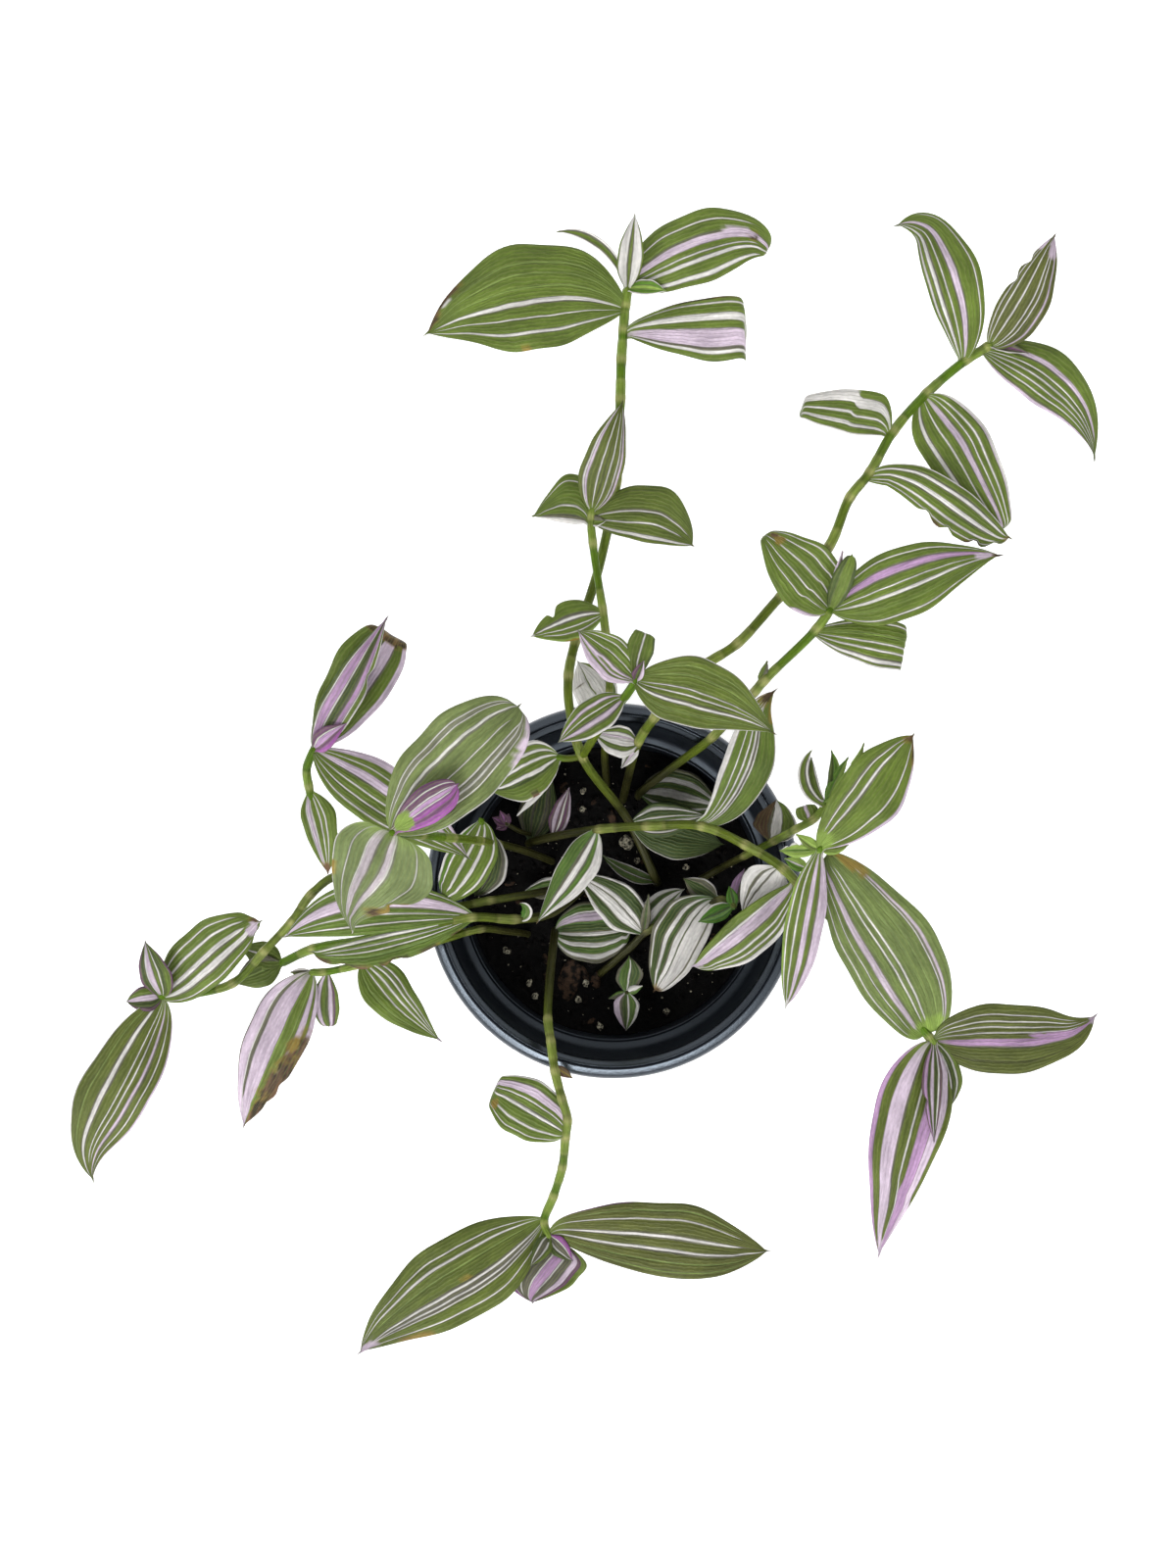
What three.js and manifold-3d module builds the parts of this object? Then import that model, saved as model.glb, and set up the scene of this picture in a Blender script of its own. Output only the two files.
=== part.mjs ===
// A tradescantia with striped leaves in a round plastic nursery pot.
// Millimetres, +Z up. The origin is the centre of the pot's flat base.
import * as THREE from "three";
import { mergeVertices } from "three/addons/utils/BufferGeometryUtils.js";
import Module from "manifold-3d";

const wasm = await Module();
wasm.setup();

// ---------------------------------------------------------------- driving dimensions

const POT = {
  height: 115,
  rimRadius: 63.5,        // outside of the rolled rim: a 127 mm pot
  wall: 1.2,
  skirtDrop: 8,           // how far the rolled rim hangs down outside
  collarTopRadius: 58.6,  // inside of the wall just under the rim
  collarFootRadius: 56,   // inside of the wall at the foot of the collar
  collarDepth: 21,        // from the rim's top to the stacking step
  stepDrop: 2,
  shoulderRadius: 51.4,   // inside of the wall just under the stacking step
  baseRadius: 45,
  floor: 2.4,
  sides: 48,
  drainHoles: 8,
  drainHoleRadius: 4,
  drainCircleRadius: 35,
};

const SOIL = {
  depth: 27,              // from the rim's top down to the potting mix
  relief: 0.9,            // how far its surface rolls up and down
  rings: 5,
  sides: 30,
  crumbs: 9,              // scattered perlite, besides the large ones that are placed
  crumbRadius: [0.9, 1.9],
  seed: 11,
  wallFall: 1.2,          // how much lower the mix lies at the wall than in the middle
  wallGap: 0.75,          // between the mix's straight sides and the pot's round wall
};

const CLEARANCE = 0.35;       // between a stem and its hole, and between the mix and the pot's floor
const BLADE_THICKNESS = 0.75;
const BLADE_ROOT_WIDTH = 2.4; // where a blade leaves its stem
const BLADE_TIP_WIDTH = 0.8;
const WIDEST = 0.35;          // how far along most blades are widest
const BLADE_ROUNDING = 0.92;  // under 1 the blade's sides are fuller, over 1 leaner
const BEND_REACH = 0.07;      // how far before and after its middle a bend runs, of the length
const ROOT_SINK = 1.5;        // how far back inside its stem a blade starts
const STEM_STEP = 13;         // length of one straight stretch of a stem
const STEM_SIDES = 6;
const WIDE_BLADE = 18;        // blades wider than this get more facets
const NARROW_BLADE = 6;       // and narrower ones fewer
const BLADE_ACROSS = [-1, 0, 1]; // edge, midrib, edge
const FALL_POWER = 1.4;       // over 1 a leaf bends mostly towards its tip
const STEEPEST = -89;         // a drooping tip hangs no steeper than this, in degrees
const LINE_STEPS = 40;        // straight pieces that a blade's centre line is summed from

// The view that the plant's places are read in, from straight above the pot: the pixel over
// the pot's centre, the rim's outer radius in pixels, and the eye's height above the rim in mm.
const VIEW = { column: 626, row: 909, rimRadiusPixels: 193, height: 550 };

const COLOURS = {
  pot: 0x2a3038,
  soil: 0x1c1612,
  foliage: 0x6f8f45,
};

// ---------------------------------------------------------------- the plant's shoots
//
// A stem runs through named points, each [column, row, height]: the pixel where it shows,
// and its height in mm. A leaf grows on a named point and its tip shows at a pixel. Its width
// is in mm. rise is the angle it leaves the stem at, fall how far it has bent down at its tip,
// fold how far its halves are lifted and turn how far it swings sideways, all in degrees.
// A leaf with a bend droops by bend.drop about bend.at of its length, where its pixel then is.

const SHOOTS = [
  {
    name: "shoot_north_long",
    radius: 1.8,
    stem: {
      root: [669, 897, 74], soil: [669, 897, 94], low: [641, 837, 105], fork: [594, 772, 128],
      knee: [581, 722, 135], ring1: [580, 690, 136], ring2: [587, 655, 135], pass: [603, 606, 138],
      cross: [608, 583, 143], ring3: [621, 536, 148], ring4: [630, 492, 151], ring5: [632, 450, 152],
      ring6: [633, 408, 151], ring7: [634, 368, 148], ring8: [636, 338, 145], ring9: [638, 312, 144],
      tip: [642, 287, 146],
    },
    leaves: {
      fan: { on: "low", tip: [722, 828], width: 13, rise: 5, fall: 8, fold: 6 },
      underFan: { on: "low", tip: [736, 858], width: 17, rise: -8, fall: 0, fold: 4 },
      crumpled: { on: "soil", tip: [612, 872], width: 6, rise: 30, fall: 40, fold: 15 },
      broadLeft: { on: "ring9", tip: [431, 344], width: 33, rise: 22, fall: 52, fold: 8, turn: 42 },
      bentRight: {
        on: "ring8", tip: [755, 333], width: 23, rise: 10, fall: 10, fold: 5, turn: -4,
        bend: { at: 0.64, drop: 75 },
      },
      topRight: { on: "tip", tip: [786, 262], width: 22, rise: 26, fall: 56, fold: 6, turn: -45 },
      rolled: { on: "tip", tip: [567, 237], width: 4, rise: 38, fall: 50, fold: 60, turn: 62 },
      spear: { on: "tip", tip: [648, 217], width: 8.5, rise: 62, fall: 40, fold: 22 },
      limeBud: { on: "tip", tip: [675, 298], width: 4.5, rise: 28, fall: 10, fold: 20 },
    },
    branches: [
      {
        from: "fork",
        radius: 1.6,
        stem: {
          lift: [603, 757, 138], climb: [622, 730, 150], neck: [640, 708, 157], tip: [651, 691, 162],
        },
        leaves: {
          bigRight: { on: "tip", tip: [793, 750], width: 22, rise: 20, fall: 46, fold: 6, turn: -6 },
          lilacLeft: { on: "tip", tip: [589, 643], width: 17, rise: 26, fall: 42, fold: 10 },
          backCurl: { on: "tip", tip: [662, 648], width: 8, rise: 25, fall: 60, fold: 5, turn: -30 },
          lowLeft: { on: "neck", tip: [569, 758], width: 13, rise: 4, fall: 30, fold: 8 },
          heartBud: { on: "tip", tip: [656, 672], width: 4.5, rise: 50, fall: 10, fold: 40 },
        },
      },
      {
        from: "fork",
        radius: 1.3,
        stem: { out: [578, 774, 128], tip: [566, 772, 128] },
        leaves: {
          sideLeft: { on: "tip", tip: [500, 803], width: 16, rise: 2, fall: 14, fold: 8, turn: 20 },
        },
      },
    ],
  },
  {
    name: "shoot_north_short",
    radius: 1.5,
    stem: {
      root: [619, 800, 74], soil: [619, 800, 88], low: [617, 765, 108], ring1: [621, 722, 126],
      ring2: [622, 680, 132], ring3: [618, 646, 136], ring4: [615, 622, 139], dip: [610, 590, 134],
      ring5: [605, 555, 133], ring6: [603, 528, 136], tip: [605, 516, 138],
    },
    leaves: {
      paleHidden: { on: "ring1", tip: [589, 674], width: 15, rise: 0, fall: 10, fold: 6 },
      notched: { on: "ring4", tip: [541, 650], width: 14, rise: 24, fall: 36, fold: 6 },
      leftSmall: { on: "ring6", tip: [541, 528], width: 13, rise: 16, fall: 40, fold: 8, turn: 80 },
      spear: { on: "tip", tip: [636, 408], width: 14, rise: 30, fall: 36, fold: 20 },
      rightSmall: { on: "ring6", tip: [709, 558], width: 17, rise: 14, fall: 50, fold: 6, turn: -62 },
    },
  },
  {
    name: "shoot_north_east_long",
    radius: 1.8,
    stem: {
      root: [634, 818, 74], soil: [636, 814, 90], ring1: [652, 756, 118], ring2: [668, 732, 127],
      pass: [695, 700, 135], ring3: [720, 678, 140], ring4: [752, 657, 145], ring5: [797, 608, 149],
      ring6: [845, 559, 150], ring7: [867, 508, 149], ring8: [887, 483, 147], ring9: [911, 441, 143],
      ring10: [945, 402, 138], ring11: [985, 368, 134], ring12: [1006, 355, 133], tip: [1014, 350, 134],
    },
    leaves: {
      tucked: { on: "ring1", tip: [606, 748], width: 11, rise: 28, fall: 36, fold: 8, turn: -25 },
      whiteTip: { on: "ring1", tip: [634, 784], width: 4, rise: -30, fall: 10, fold: 10 },
      tornLow: { on: "ring8", tip: [1033, 551], width: 15, rise: 0, fall: 12, fold: 5, turn: -14 },
      bentDown: {
        on: "ring10", tip: [1010, 538], width: 27, rise: 6, fall: 8, fold: 5, turn: 12,
        bend: { at: 0.8, drop: 80 },
      },
      smallLeft: {
        on: "ring9", tip: [822, 414], width: 15, rise: 8, fall: 8, fold: 6, turn: 24,
        bend: { at: 0.78, drop: 70 },
      },
      archingUp: { on: "ring11", tip: [910, 231], width: 22, rise: 26, fall: 54, fold: 6, turn: 62 },
      archingRight: { on: "ring12", tip: [1117, 473], width: 20, rise: 18, fall: 56, fold: 6, turn: -52 },
      tipUpright: { on: "tip", tip: [1078, 237], width: 15, rise: 40, fall: 34, fold: 14, turn: 10 },
      tipRoll: { on: "tip", tip: [1050, 361], width: 4, rise: 25, fall: 15, fold: 50 },
    },
  },
  {
    name: "shoot_east_north",
    radius: 1.7,
    stem: {
      root: [654, 815, 74], soil: [654, 808, 95], low: [690, 780, 108], ring1: [727, 752, 122],
      ring2: [770, 706, 131], ring3: [779, 695, 133], ring4: [833, 642, 134], tip: [850, 618, 134],
    },
    leaves: {
      baseBroad: { on: "soil", tip: [735, 828], width: 18, rise: 12, fall: 10, fold: 4, turn: -28 },
      dryNib: { on: "ring3", tip: [783, 674], width: 3, rise: 30, fall: 0, fold: 20 },
      bentLow: {
        on: "ring4", tip: [920, 661], width: 16, rise: 0, fall: 8, fold: 5, turn: -6,
        bend: { at: 0.72, drop: 80 },
      },
      broadBack: {
        on: "tip", tip: [778, 552], width: 23, rise: 0, fall: 6, fold: 5, turn: 10,
        bend: { at: 0.84, drop: 80 },
      },
      longRight: { on: "tip", tip: [1025, 566], width: 24, rise: 18, fall: 40, fold: 6, turn: -18 },
      smallTop: { on: "tip", tip: [872, 566], width: 7, rise: 40, fall: 40, fold: 20 },
      lilacSliver: { on: "tip", tip: [860, 560], width: 4, rise: 30, fall: 10, fold: 20 },
    },
  },
  {
    name: "shoot_east",
    radius: 1.8,
    stem: {
      root: [541, 861, 74], soil: [543, 859, 95], low: [568, 853, 103], ring1: [612, 846, 112],
      ring2: [660, 843, 119], ring3: [716, 843, 124], ring4: [760, 862, 128], ring5: [800, 887, 131],
      fork: [815, 903, 133], pass: [862, 952, 131], ring6: [915, 1020, 123], ring7: [948, 1058, 118],
      tip: [956, 1067, 119],
    },
    leaves: {
      shadeBroad: { on: "soil", tip: [590, 778], width: 17, rise: 10, fall: 10, fold: 5 },
      shadePurple: { on: "low", tip: [582, 803], width: 8, rise: 5, fall: 10, fold: 15 },
      slenderDown: { on: "ring1", tip: [547, 943], width: 14, rise: 12, fall: 18, fold: 16 },
      standing: {
        on: "ring3", tip: [796, 702], width: 18, rise: 26, fall: 40, fold: 6, turn: 44, widest: 0.45,
      },
      whiteLow: { on: "ring5", tip: [755, 934], width: 16, rise: -30, fall: 0, fold: 5 },
      pinkLow: { on: "fork", tip: [704, 986], width: 15, rise: -12, fall: 14, fold: 8, turn: -12 },
      greatBack: { on: "ring7", tip: [840, 862], width: 28, rise: 34, fall: 34, fold: 5, turn: 14 },
      tipRight: { on: "tip", tip: [1121, 1033], width: 23, rise: 20, fall: 48, fold: 8, turn: 14 },
      tipDown: { on: "tip", tip: [895, 1286], width: 27, rise: 16, fall: 52, fold: 6, turn: 14 },
      tipSmallLeft: { on: "tip", tip: [953, 1167], width: 10, rise: 28, fall: 30, fold: 14 },
      tipSmallRight: { on: "tip", tip: [972, 1132], width: 9, rise: 22, fall: 45, fold: 14, turn: -10 },
    },
    branches: [
      {
        from: "fork",
        radius: 1.5,
        stem: { lift: [826, 884, 140], tip: [838, 864, 150] },
        leaves: {
          riseUp: { on: "tip", tip: [934, 747], width: 23, rise: 24, fall: 44, fold: 10, turn: 8 },
          riseDown: { on: "tip", tip: [801, 1031], width: 15, rise: -4, fall: 16, fold: 10, turn: 8 },
          riseSmall: { on: "tip", tip: [866, 862], width: 5.5, rise: 0, fall: 30, fold: 10 },
          riseLow: { on: "lift", tip: [800, 876], width: 5, rise: -10, fall: 10, fold: 20 },
        },
      },
    ],
  },
  {
    name: "shoot_east_inner",
    radius: 1.5,
    stem: {
      root: [705, 903, 74], soil: [708, 901, 88], low: [735, 886, 96], ring1: [760, 873, 109],
      ring2: [790, 858, 121], ring3: [812, 846, 125], ring4: [830, 836, 127], tip: [846, 818, 129],
    },
    leaves: {
      bowl: { on: "ring2", tip: [792, 815], width: 15, rise: -6, fall: 0, fold: 4 },
      squareCut: {
        on: "ring4", tip: [822, 824], width: 8, rise: 5, fall: 0, fold: 5,
        bend: { at: 0.6, drop: 60 },
      },
      ringLeft: { on: "tip", tip: [826, 766], width: 3, rise: 15, fall: 10, fold: 25, turn: -95 },
      hookRight: { on: "tip", tip: [849, 765], width: 3.5, rise: 15, fall: 10, fold: 25, turn: 50 },
      thread: { on: "tip", tip: [880, 760], width: 3, rise: 20, fall: 10, fold: 25, turn: 15 },
    },
  },
  {
    name: "shoot_centre",
    radius: 1.6,
    stem: {
      root: [612, 994, 74], soil: [614, 992, 89], low: [645, 965, 96], ring1: [660, 950, 99],
      ring2: [700, 932, 104], ring3: [736, 918, 108], tip: [752, 926, 111],
    },
    leaves: {
      archedPale: { on: "ring1", tip: [588, 893], width: 15, rise: 26, fall: 44, fold: 6, turn: 26 },
      pointingRight: { on: "ring1", tip: [699, 907], width: 10, rise: 0, fall: 4, fold: 8, turn: -50 },
      greatWhite: { on: "ring3", tip: [664, 1014], width: 21, rise: 0, fall: 12, fold: 6, turn: -18 },
      greyBack: { on: "ring3", tip: [697, 896], width: 8, rise: -4, fall: 4, fold: 6 },
      limeYoung: { on: "tip", tip: [712, 941], width: 7, rise: 14, fall: 10, fold: 10 },
      greyStub: { on: "tip", tip: [760, 886], width: 6, rise: -10, fall: 10, fold: 15 },
    },
  },
  {
    name: "shoot_south",
    radius: 1.7,
    stem: {
      root: [566, 953, 74], soil: [566, 953, 96], low: [561, 1000, 108], ring1: [559, 1040, 116],
      ring2: [562, 1062, 120], ring3: [566, 1092, 121], ring4: [573, 1120, 120], ring5: [579, 1142, 118],
      ring6: [577, 1160, 116], ring7: [574, 1190, 112], ring8: [565, 1220, 109], ring9: [555, 1248, 108],
      tip: [562, 1265, 110],
    },
    leaves: {
      rosette: { on: "soil", tip: [650, 950], width: 22, rise: 2, fall: 10, fold: 4, turn: 12 },
      deadBit: { on: "ring3", tip: [584, 1098], width: 3, rise: -15, fall: 20, fold: 20 },
      roundLeft: {
        on: "ring6", tip: [506, 1117], width: 21, rise: 10, fall: 20, fold: 5, turn: 36,
        bend: { at: 0.86, drop: 70 },
      },
      longLeft: { on: "ring9", tip: [363, 1383], width: 27, rise: 20, fall: 48, fold: 6, turn: 8 },
      longRight: { on: "tip", tip: [789, 1276], width: 25, rise: 22, fall: 50, fold: 6, turn: -10 },
      curled: { on: "tip", tip: [548, 1334], width: 27, rise: 10, fall: 40, fold: 4 },
    },
  },
  {
    name: "shoot_west_low",
    radius: 1.5,
    stem: {
      root: [540, 955, 74], soil: [538, 953, 88], low: [515, 950, 103], ring1: [490, 948, 113],
      overRim: [455, 958, 120], ring2: [420, 970, 119], ring3: [365, 985, 112], ring4: [330, 992, 109],
      tip: [314, 992, 109],
    },
    leaves: {
      plain: { on: "ring3", tip: [452, 1064], width: 19, rise: 12, fall: 28, fold: 7, turn: 14 },
      scorched: { on: "tip", tip: [248, 1152], width: 21, rise: 6, fall: 46, fold: 8, turn: 10 },
      curledSmall: { on: "ring4", tip: [334, 1050], width: 9, rise: -5, fall: 40, fold: 25 },
    },
  },
  {
    name: "shoot_west",
    radius: 1.8,
    stem: {
      root: [596, 905, 74], soil: [594, 907, 92], low: [562, 932, 106], ring1: [525, 938, 114],
      ring2: [481, 936, 120], ring3: [430, 947, 121], ring4: [380, 958, 116], ring5: [320, 968, 107],
      tip: [285, 984, 100],
    },
    leaves: {
      matUpper: { on: "ring2", tip: [286, 957], width: 18, rise: 20, fall: 36, fold: 5, turn: 20 },
      matLower: { on: "ring2", tip: [318, 972], width: 13, rise: 14, fall: 26, fold: 5, turn: -14 },
      frill: { on: "ring1", tip: [528, 922], width: 4.5, rise: 10, fall: 10, fold: 30 },
      tucked: { on: "tip", tip: [238, 1003], width: 11, rise: -8, fall: 18, fold: 8 },
      tuckedUp: { on: "tip", tip: [246, 968], width: 10, rise: -10, fall: 14, fold: 10, turn: 12 },
    },
  },
  {
    name: "shoot_north_west",
    radius: 1.6,
    stem: {
      root: [578, 903, 74], soil: [576, 904, 92], low: [548, 911, 106], ring1: [500, 919, 114],
      ring2: [450, 927, 119], ring3: [410, 925, 120], ring4: [375, 905, 122], ring5: [345, 875, 128],
      ring6: [324, 838, 134], ring7: [315, 802, 138], neck: [313, 784, 142], tip: [322, 761, 147],
    },
    leaves: {
      tinyPale: { on: "soil", tip: [533, 911], width: 8, rise: 6, fall: 10, fold: 8 },
      brownTipped: { on: "ring7", tip: [335, 893], width: 12, rise: 0, fall: 30, fold: 12, turn: -24 },
      underRight: { on: "tip", tip: [482, 878], width: 21, rise: 0, fall: 30, fold: 6, turn: 4 },
      lilacUpright: { on: "tip", tip: [397, 627], width: 16, rise: 34, fall: 34, fold: 22, turn: 8 },
      brokenBack: {
        on: "tip", tip: [392, 652], width: 21, rise: 14, fall: 16, fold: 10, turn: 34,
        bend: { at: 0.9, drop: 60 },
      },
      purpleCurl: { on: "tip", tip: [354, 738], width: 7, rise: 50, fall: 40, fold: 20 },
    },
    branches: [
      {
        from: "ring4",
        radius: 1.7,
        stem: {
          out: [345, 894, 123], ring1: [318, 912, 119], ring2: [298, 940, 114], ring3: [270, 970, 108],
          ring4: [238, 1003, 103], ring5: [198, 1014, 101], tip: [160, 1017, 103],
        },
        leaves: {
          backAlong: { on: "tip", tip: [272, 938], width: 22, rise: 22, fall: 30, fold: 6, turn: 4 },
          greatDown: {
            on: "tip", tip: [97, 1208], width: 28, rise: 14, fall: 54, fold: 6, turn: 34, widest: 0.46,
          },
          youngUp: { on: "tip", tip: [148, 959], width: 13, rise: 46, fall: 40, fold: 20 },
          youngLeft: { on: "tip", tip: [130, 1022], width: 9, rise: 24, fall: 50, fold: 15 },
        },
      },
    ],
  },
  {
    name: "shoot_west_inner",
    radius: 1.6,
    stem: {
      root: [563, 880, 74], soil: [561, 878, 90], low: [535, 868, 101], ring1: [508, 861, 114],
      ring2: [490, 858, 134], ring3: [462, 855, 156], ring4: [430, 852, 173], tip: [397, 849, 184],
    },
    leaves: {
      tallRight: { on: "tip", tip: [534, 718], width: 26, rise: 18, fall: 38, fold: 8, turn: 10 },
      tallDown: { on: "tip", tip: [360, 953], width: 30, rise: 4, fall: 62, fold: 6, turn: 6 },
      magenta: { on: "tip", tip: [470, 797], width: 12, rise: 34, fall: 34, fold: 14, turn: -10 },
    },
    branches: [
      {
        from: "ring1",
        radius: 1.3,
        stem: { bend: [497, 848, 119], tip: [489, 834, 121] },
        leaves: {
          brightStriped: { on: "tip", tip: [446, 914], width: 16, rise: 10, fall: 18, fold: 6, turn: -30 },
          darkStriped: { on: "bend", tip: [488, 915], width: 15, rise: -12, fall: 8, fold: 5, turn: -18 },
          whitePoint: { on: "tip", tip: [527, 836], width: 4, rise: -8, fall: 6, fold: 10, turn: -30 },
        },
      },
    ],
  },
  {
    name: "shoot_bud",
    radius: 1,
    stem: {
      root: [524, 842, 74], soil: [524, 842, 90], bend: [521, 846, 97], tip: [512, 842, 101],
    },
    leaves: {
      budOuter: { on: "tip", tip: [502, 834], width: 5, rise: 20, fall: 0, fold: 40 },
      budInner: { on: "tip", tip: [508, 828], width: 3.5, rise: 30, fall: 0, fold: 40 },
    },
  },
  {
    name: "shoot_plantlet",
    radius: 1,
    stem: { root: [639, 1014, 74], soil: [639, 1014, 92], tip: [640, 1012, 97] },
    leaves: {
      up: { on: "tip", tip: [645, 975], width: 10, rise: 14, fall: 20, fold: 14 },
      down: { on: "tip", tip: [639, 1053], width: 10, rise: 8, fall: 24, fold: 12 },
      right: { on: "tip", tip: [655, 1008], width: 4, rise: 20, fall: 10, fold: 14 },
      left: { on: "tip", tip: [621, 1021], width: 3.5, rise: 0, fall: 20, fold: 14 },
    },
  },
];

// Perlite granules that show on the potting mix: the pixel of each, and its radius in mm.
const PERLITE = {
  large: { at: [640, 860], radius: 2.9 },
  west1: { at: [517, 970], radius: 1.9 },
  west2: { at: [540, 1003], radius: 1.6 },
  west3: { at: [546, 1016], radius: 1.4 },
  south1: { at: [598, 1003], radius: 1.8 },
  south2: { at: [577, 967], radius: 1.5 },
  south3: { at: [590, 1020], radius: 1.6 },
  south4: { at: [612, 1047], radius: 1.9 },
  south5: { at: [680, 1032], radius: 1.8 },
  east1: { at: [700, 885], radius: 1.6 },
  east2: { at: [749, 981], radius: 1.9 },
  north1: { at: [595, 807], radius: 1.7 },
  north2: { at: [595, 826], radius: 1.5 },
  north3: { at: [650, 878], radius: 1.4 },
};

// Bark chips that lie on the mix: pixel, length and width in mm, and the angle each lies at.
const BARK = {
  south: { at: [586, 992], length: 9, width: 5, angle: 35 },
  southEast: { at: [622, 1006], length: 8, width: 4.5, angle: -50 },
  north: { at: [610, 832], length: 8, width: 4, angle: 10 },
  east: { at: [728, 958], length: 7, width: 4.5, angle: 70 },
  west: { at: [520, 900], length: 7, width: 4, angle: -20 },
};
const BARK_THICKNESS = 2.4;
const BARK_TILT = 0.12;  // radians

// ---------------------------------------------------------------- places in the view

const EYE_HEIGHT = POT.height + VIEW.height;
const SLOPE = POT.rimRadius / VIEW.rimRadiusPixels / VIEW.height;

// How far across the sight line through a pixel runs, for each mm that it drops.
function sightLine([column, row]) {
  return new THREE.Vector2(column - VIEW.column, VIEW.row - row).multiplyScalar(SLOPE);
}

// The point at a height that shows at a pixel.
function pointAt([column, row, height]) {
  const across = sightLine([column, row]).multiplyScalar(EYE_HEIGHT - height);
  return new THREE.Vector3(across.x, across.y, height);
}

// ---------------------------------------------------------------- solids

function solidOf(geometry) {
  const bare = geometry.index ? geometry.toNonIndexed() : geometry.clone();
  bare.deleteAttribute("normal");
  bare.deleteAttribute("uv");
  const merged = mergeVertices(bare, 1e-4);
  return new wasm.Manifold(new wasm.Mesh({
    numProp: 3,
    vertProperties: new Float32Array(merged.attributes.position.array),
    triVerts: new Uint32Array(merged.index.array),
  }));
}

function geometryOf(solid) {
  const mesh = solid.getMesh();
  const geometry = new THREE.BufferGeometry();
  geometry.setAttribute("position", new THREE.BufferAttribute(mesh.vertProperties, 3));
  geometry.setIndex(new THREE.BufferAttribute(mesh.triVerts, 1));
  return geometry;
}

function fuse(solids) {
  return solids.reduce((whole, piece) => whole.add(piece));
}

function nodeMesh(name, solid, colour, roughness) {
  const material = new THREE.MeshStandardMaterial({ color: colour, roughness, metalness: 0 });
  const mesh = new THREE.Mesh(geometryOf(solid), material);
  mesh.name = name;
  return mesh;
}

// A repeatable stream of numbers from 0 to 1.
function seededDraw(seed) {
  let state = seed;
  return () => {
    state = (state * 1664525 + 1013904223) % 4294967296;
    return state / 4294967296;
  };
}

// ---------------------------------------------------------------- pot

// Radius of the inside of the wall below the stacking step, at a height.
function potInnerRadius(height) {
  const top = POT.height - POT.collarDepth - POT.stepDrop;
  const along = (height - POT.floor) / (top - POT.floor);
  return THREE.MathUtils.lerp(POT.baseRadius - POT.wall, POT.shoulderRadius, along);
}

function makePot() {
  const { height, wall, floor } = POT;
  const stepTop = height - POT.collarDepth;
  const stepFoot = stepTop - POT.stepDrop;
  const skirtFoot = height - POT.skirtDrop;
  const profile = [
    [0, 0],
    [POT.baseRadius - 1.5, 0],
    [POT.baseRadius, 1.5],
    [POT.shoulderRadius + wall, stepFoot - wall],
    [POT.collarFootRadius + wall, stepTop - wall],
    [POT.collarTopRadius + wall, height - wall],
    [POT.rimRadius - wall, height - wall],
    [POT.rimRadius - wall, skirtFoot],
    [POT.rimRadius, skirtFoot],
    [POT.rimRadius, height - 1.2],
    [POT.rimRadius - 1.2, height],
    [POT.collarTopRadius + 1, height],
    [POT.collarTopRadius, height - 1],
    [POT.collarFootRadius, stepTop],
    [POT.shoulderRadius, stepFoot],
    [potInnerRadius(floor), floor],
    [0, floor],
  ].map(([radius, z]) => new THREE.Vector2(radius, z));
  let pot = solidOf(new THREE.LatheGeometry(profile, POT.sides).rotateX(Math.PI / 2));
  for (let i = 0; i < POT.drainHoles; i += 1) {
    const angle = (i + 0.5) * (2 * Math.PI / POT.drainHoles);
    const drill = new THREE.CylinderGeometry(POT.drainHoleRadius, POT.drainHoleRadius, 4 * floor, 12);
    drill.rotateX(Math.PI / 2);
    drill.translate(POT.drainCircleRadius * Math.cos(angle), POT.drainCircleRadius * Math.sin(angle), 0);
    pot = pot.subtract(solidOf(drill));
  }
  return pot;
}

// ---------------------------------------------------------------- potting mix

const SOIL_TOP = POT.height - SOIL.depth;

// Height of the mix's surface: two slow waves that cross, and a slight fall to the wall.
function soilHeight(x, y) {
  const waves = Math.sin(x / 9 + 1) * Math.cos(y / 11) + 0.6 * Math.sin(x / 5 - y / 6);
  return SOIL_TOP + SOIL.relief * waves - SOIL.wallFall * (Math.hypot(x, y) / POT.shoulderRadius) ** 4;
}

function soilBody() {
  const points = [];
  const faces = [];
  const topRadius = potInnerRadius(SOIL_TOP) - SOIL.wallGap;
  const ringPoint = (ring, side) => 2 + ring * SOIL.sides + (side % SOIL.sides);
  const footHeight = POT.floor + CLEARANCE;
  const footRadius = potInnerRadius(POT.floor) - SOIL.wallGap;
  points.push([0, 0, soilHeight(0, 0)], [0, 0, footHeight]);
  for (let ring = 1; ring <= SOIL.rings + 1; ring += 1) {
    for (let side = 0; side < SOIL.sides; side += 1) {
      const angle = side * (2 * Math.PI / SOIL.sides);
      const isFoot = ring > SOIL.rings;
      const radius = isFoot ? footRadius : topRadius * (ring / SOIL.rings);
      const x = radius * Math.cos(angle);
      const y = radius * Math.sin(angle);
      points.push([x, y, isFoot ? footHeight : soilHeight(x, y)]);
    }
  }
  for (let side = 0; side < SOIL.sides; side += 1) {
    faces.push([0, ringPoint(0, side), ringPoint(0, side + 1)]);
    faces.push([1, ringPoint(SOIL.rings, side + 1), ringPoint(SOIL.rings, side)]);
    for (let ring = 0; ring < SOIL.rings; ring += 1) {
      const [a, b] = [ringPoint(ring, side), ringPoint(ring, side + 1)];
      const [c, d] = [ringPoint(ring + 1, side), ringPoint(ring + 1, side + 1)];
      faces.push([a, c, d], [a, d, b]);
    }
  }
  return solidOf(facetedGeometry(points, faces));
}

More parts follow.
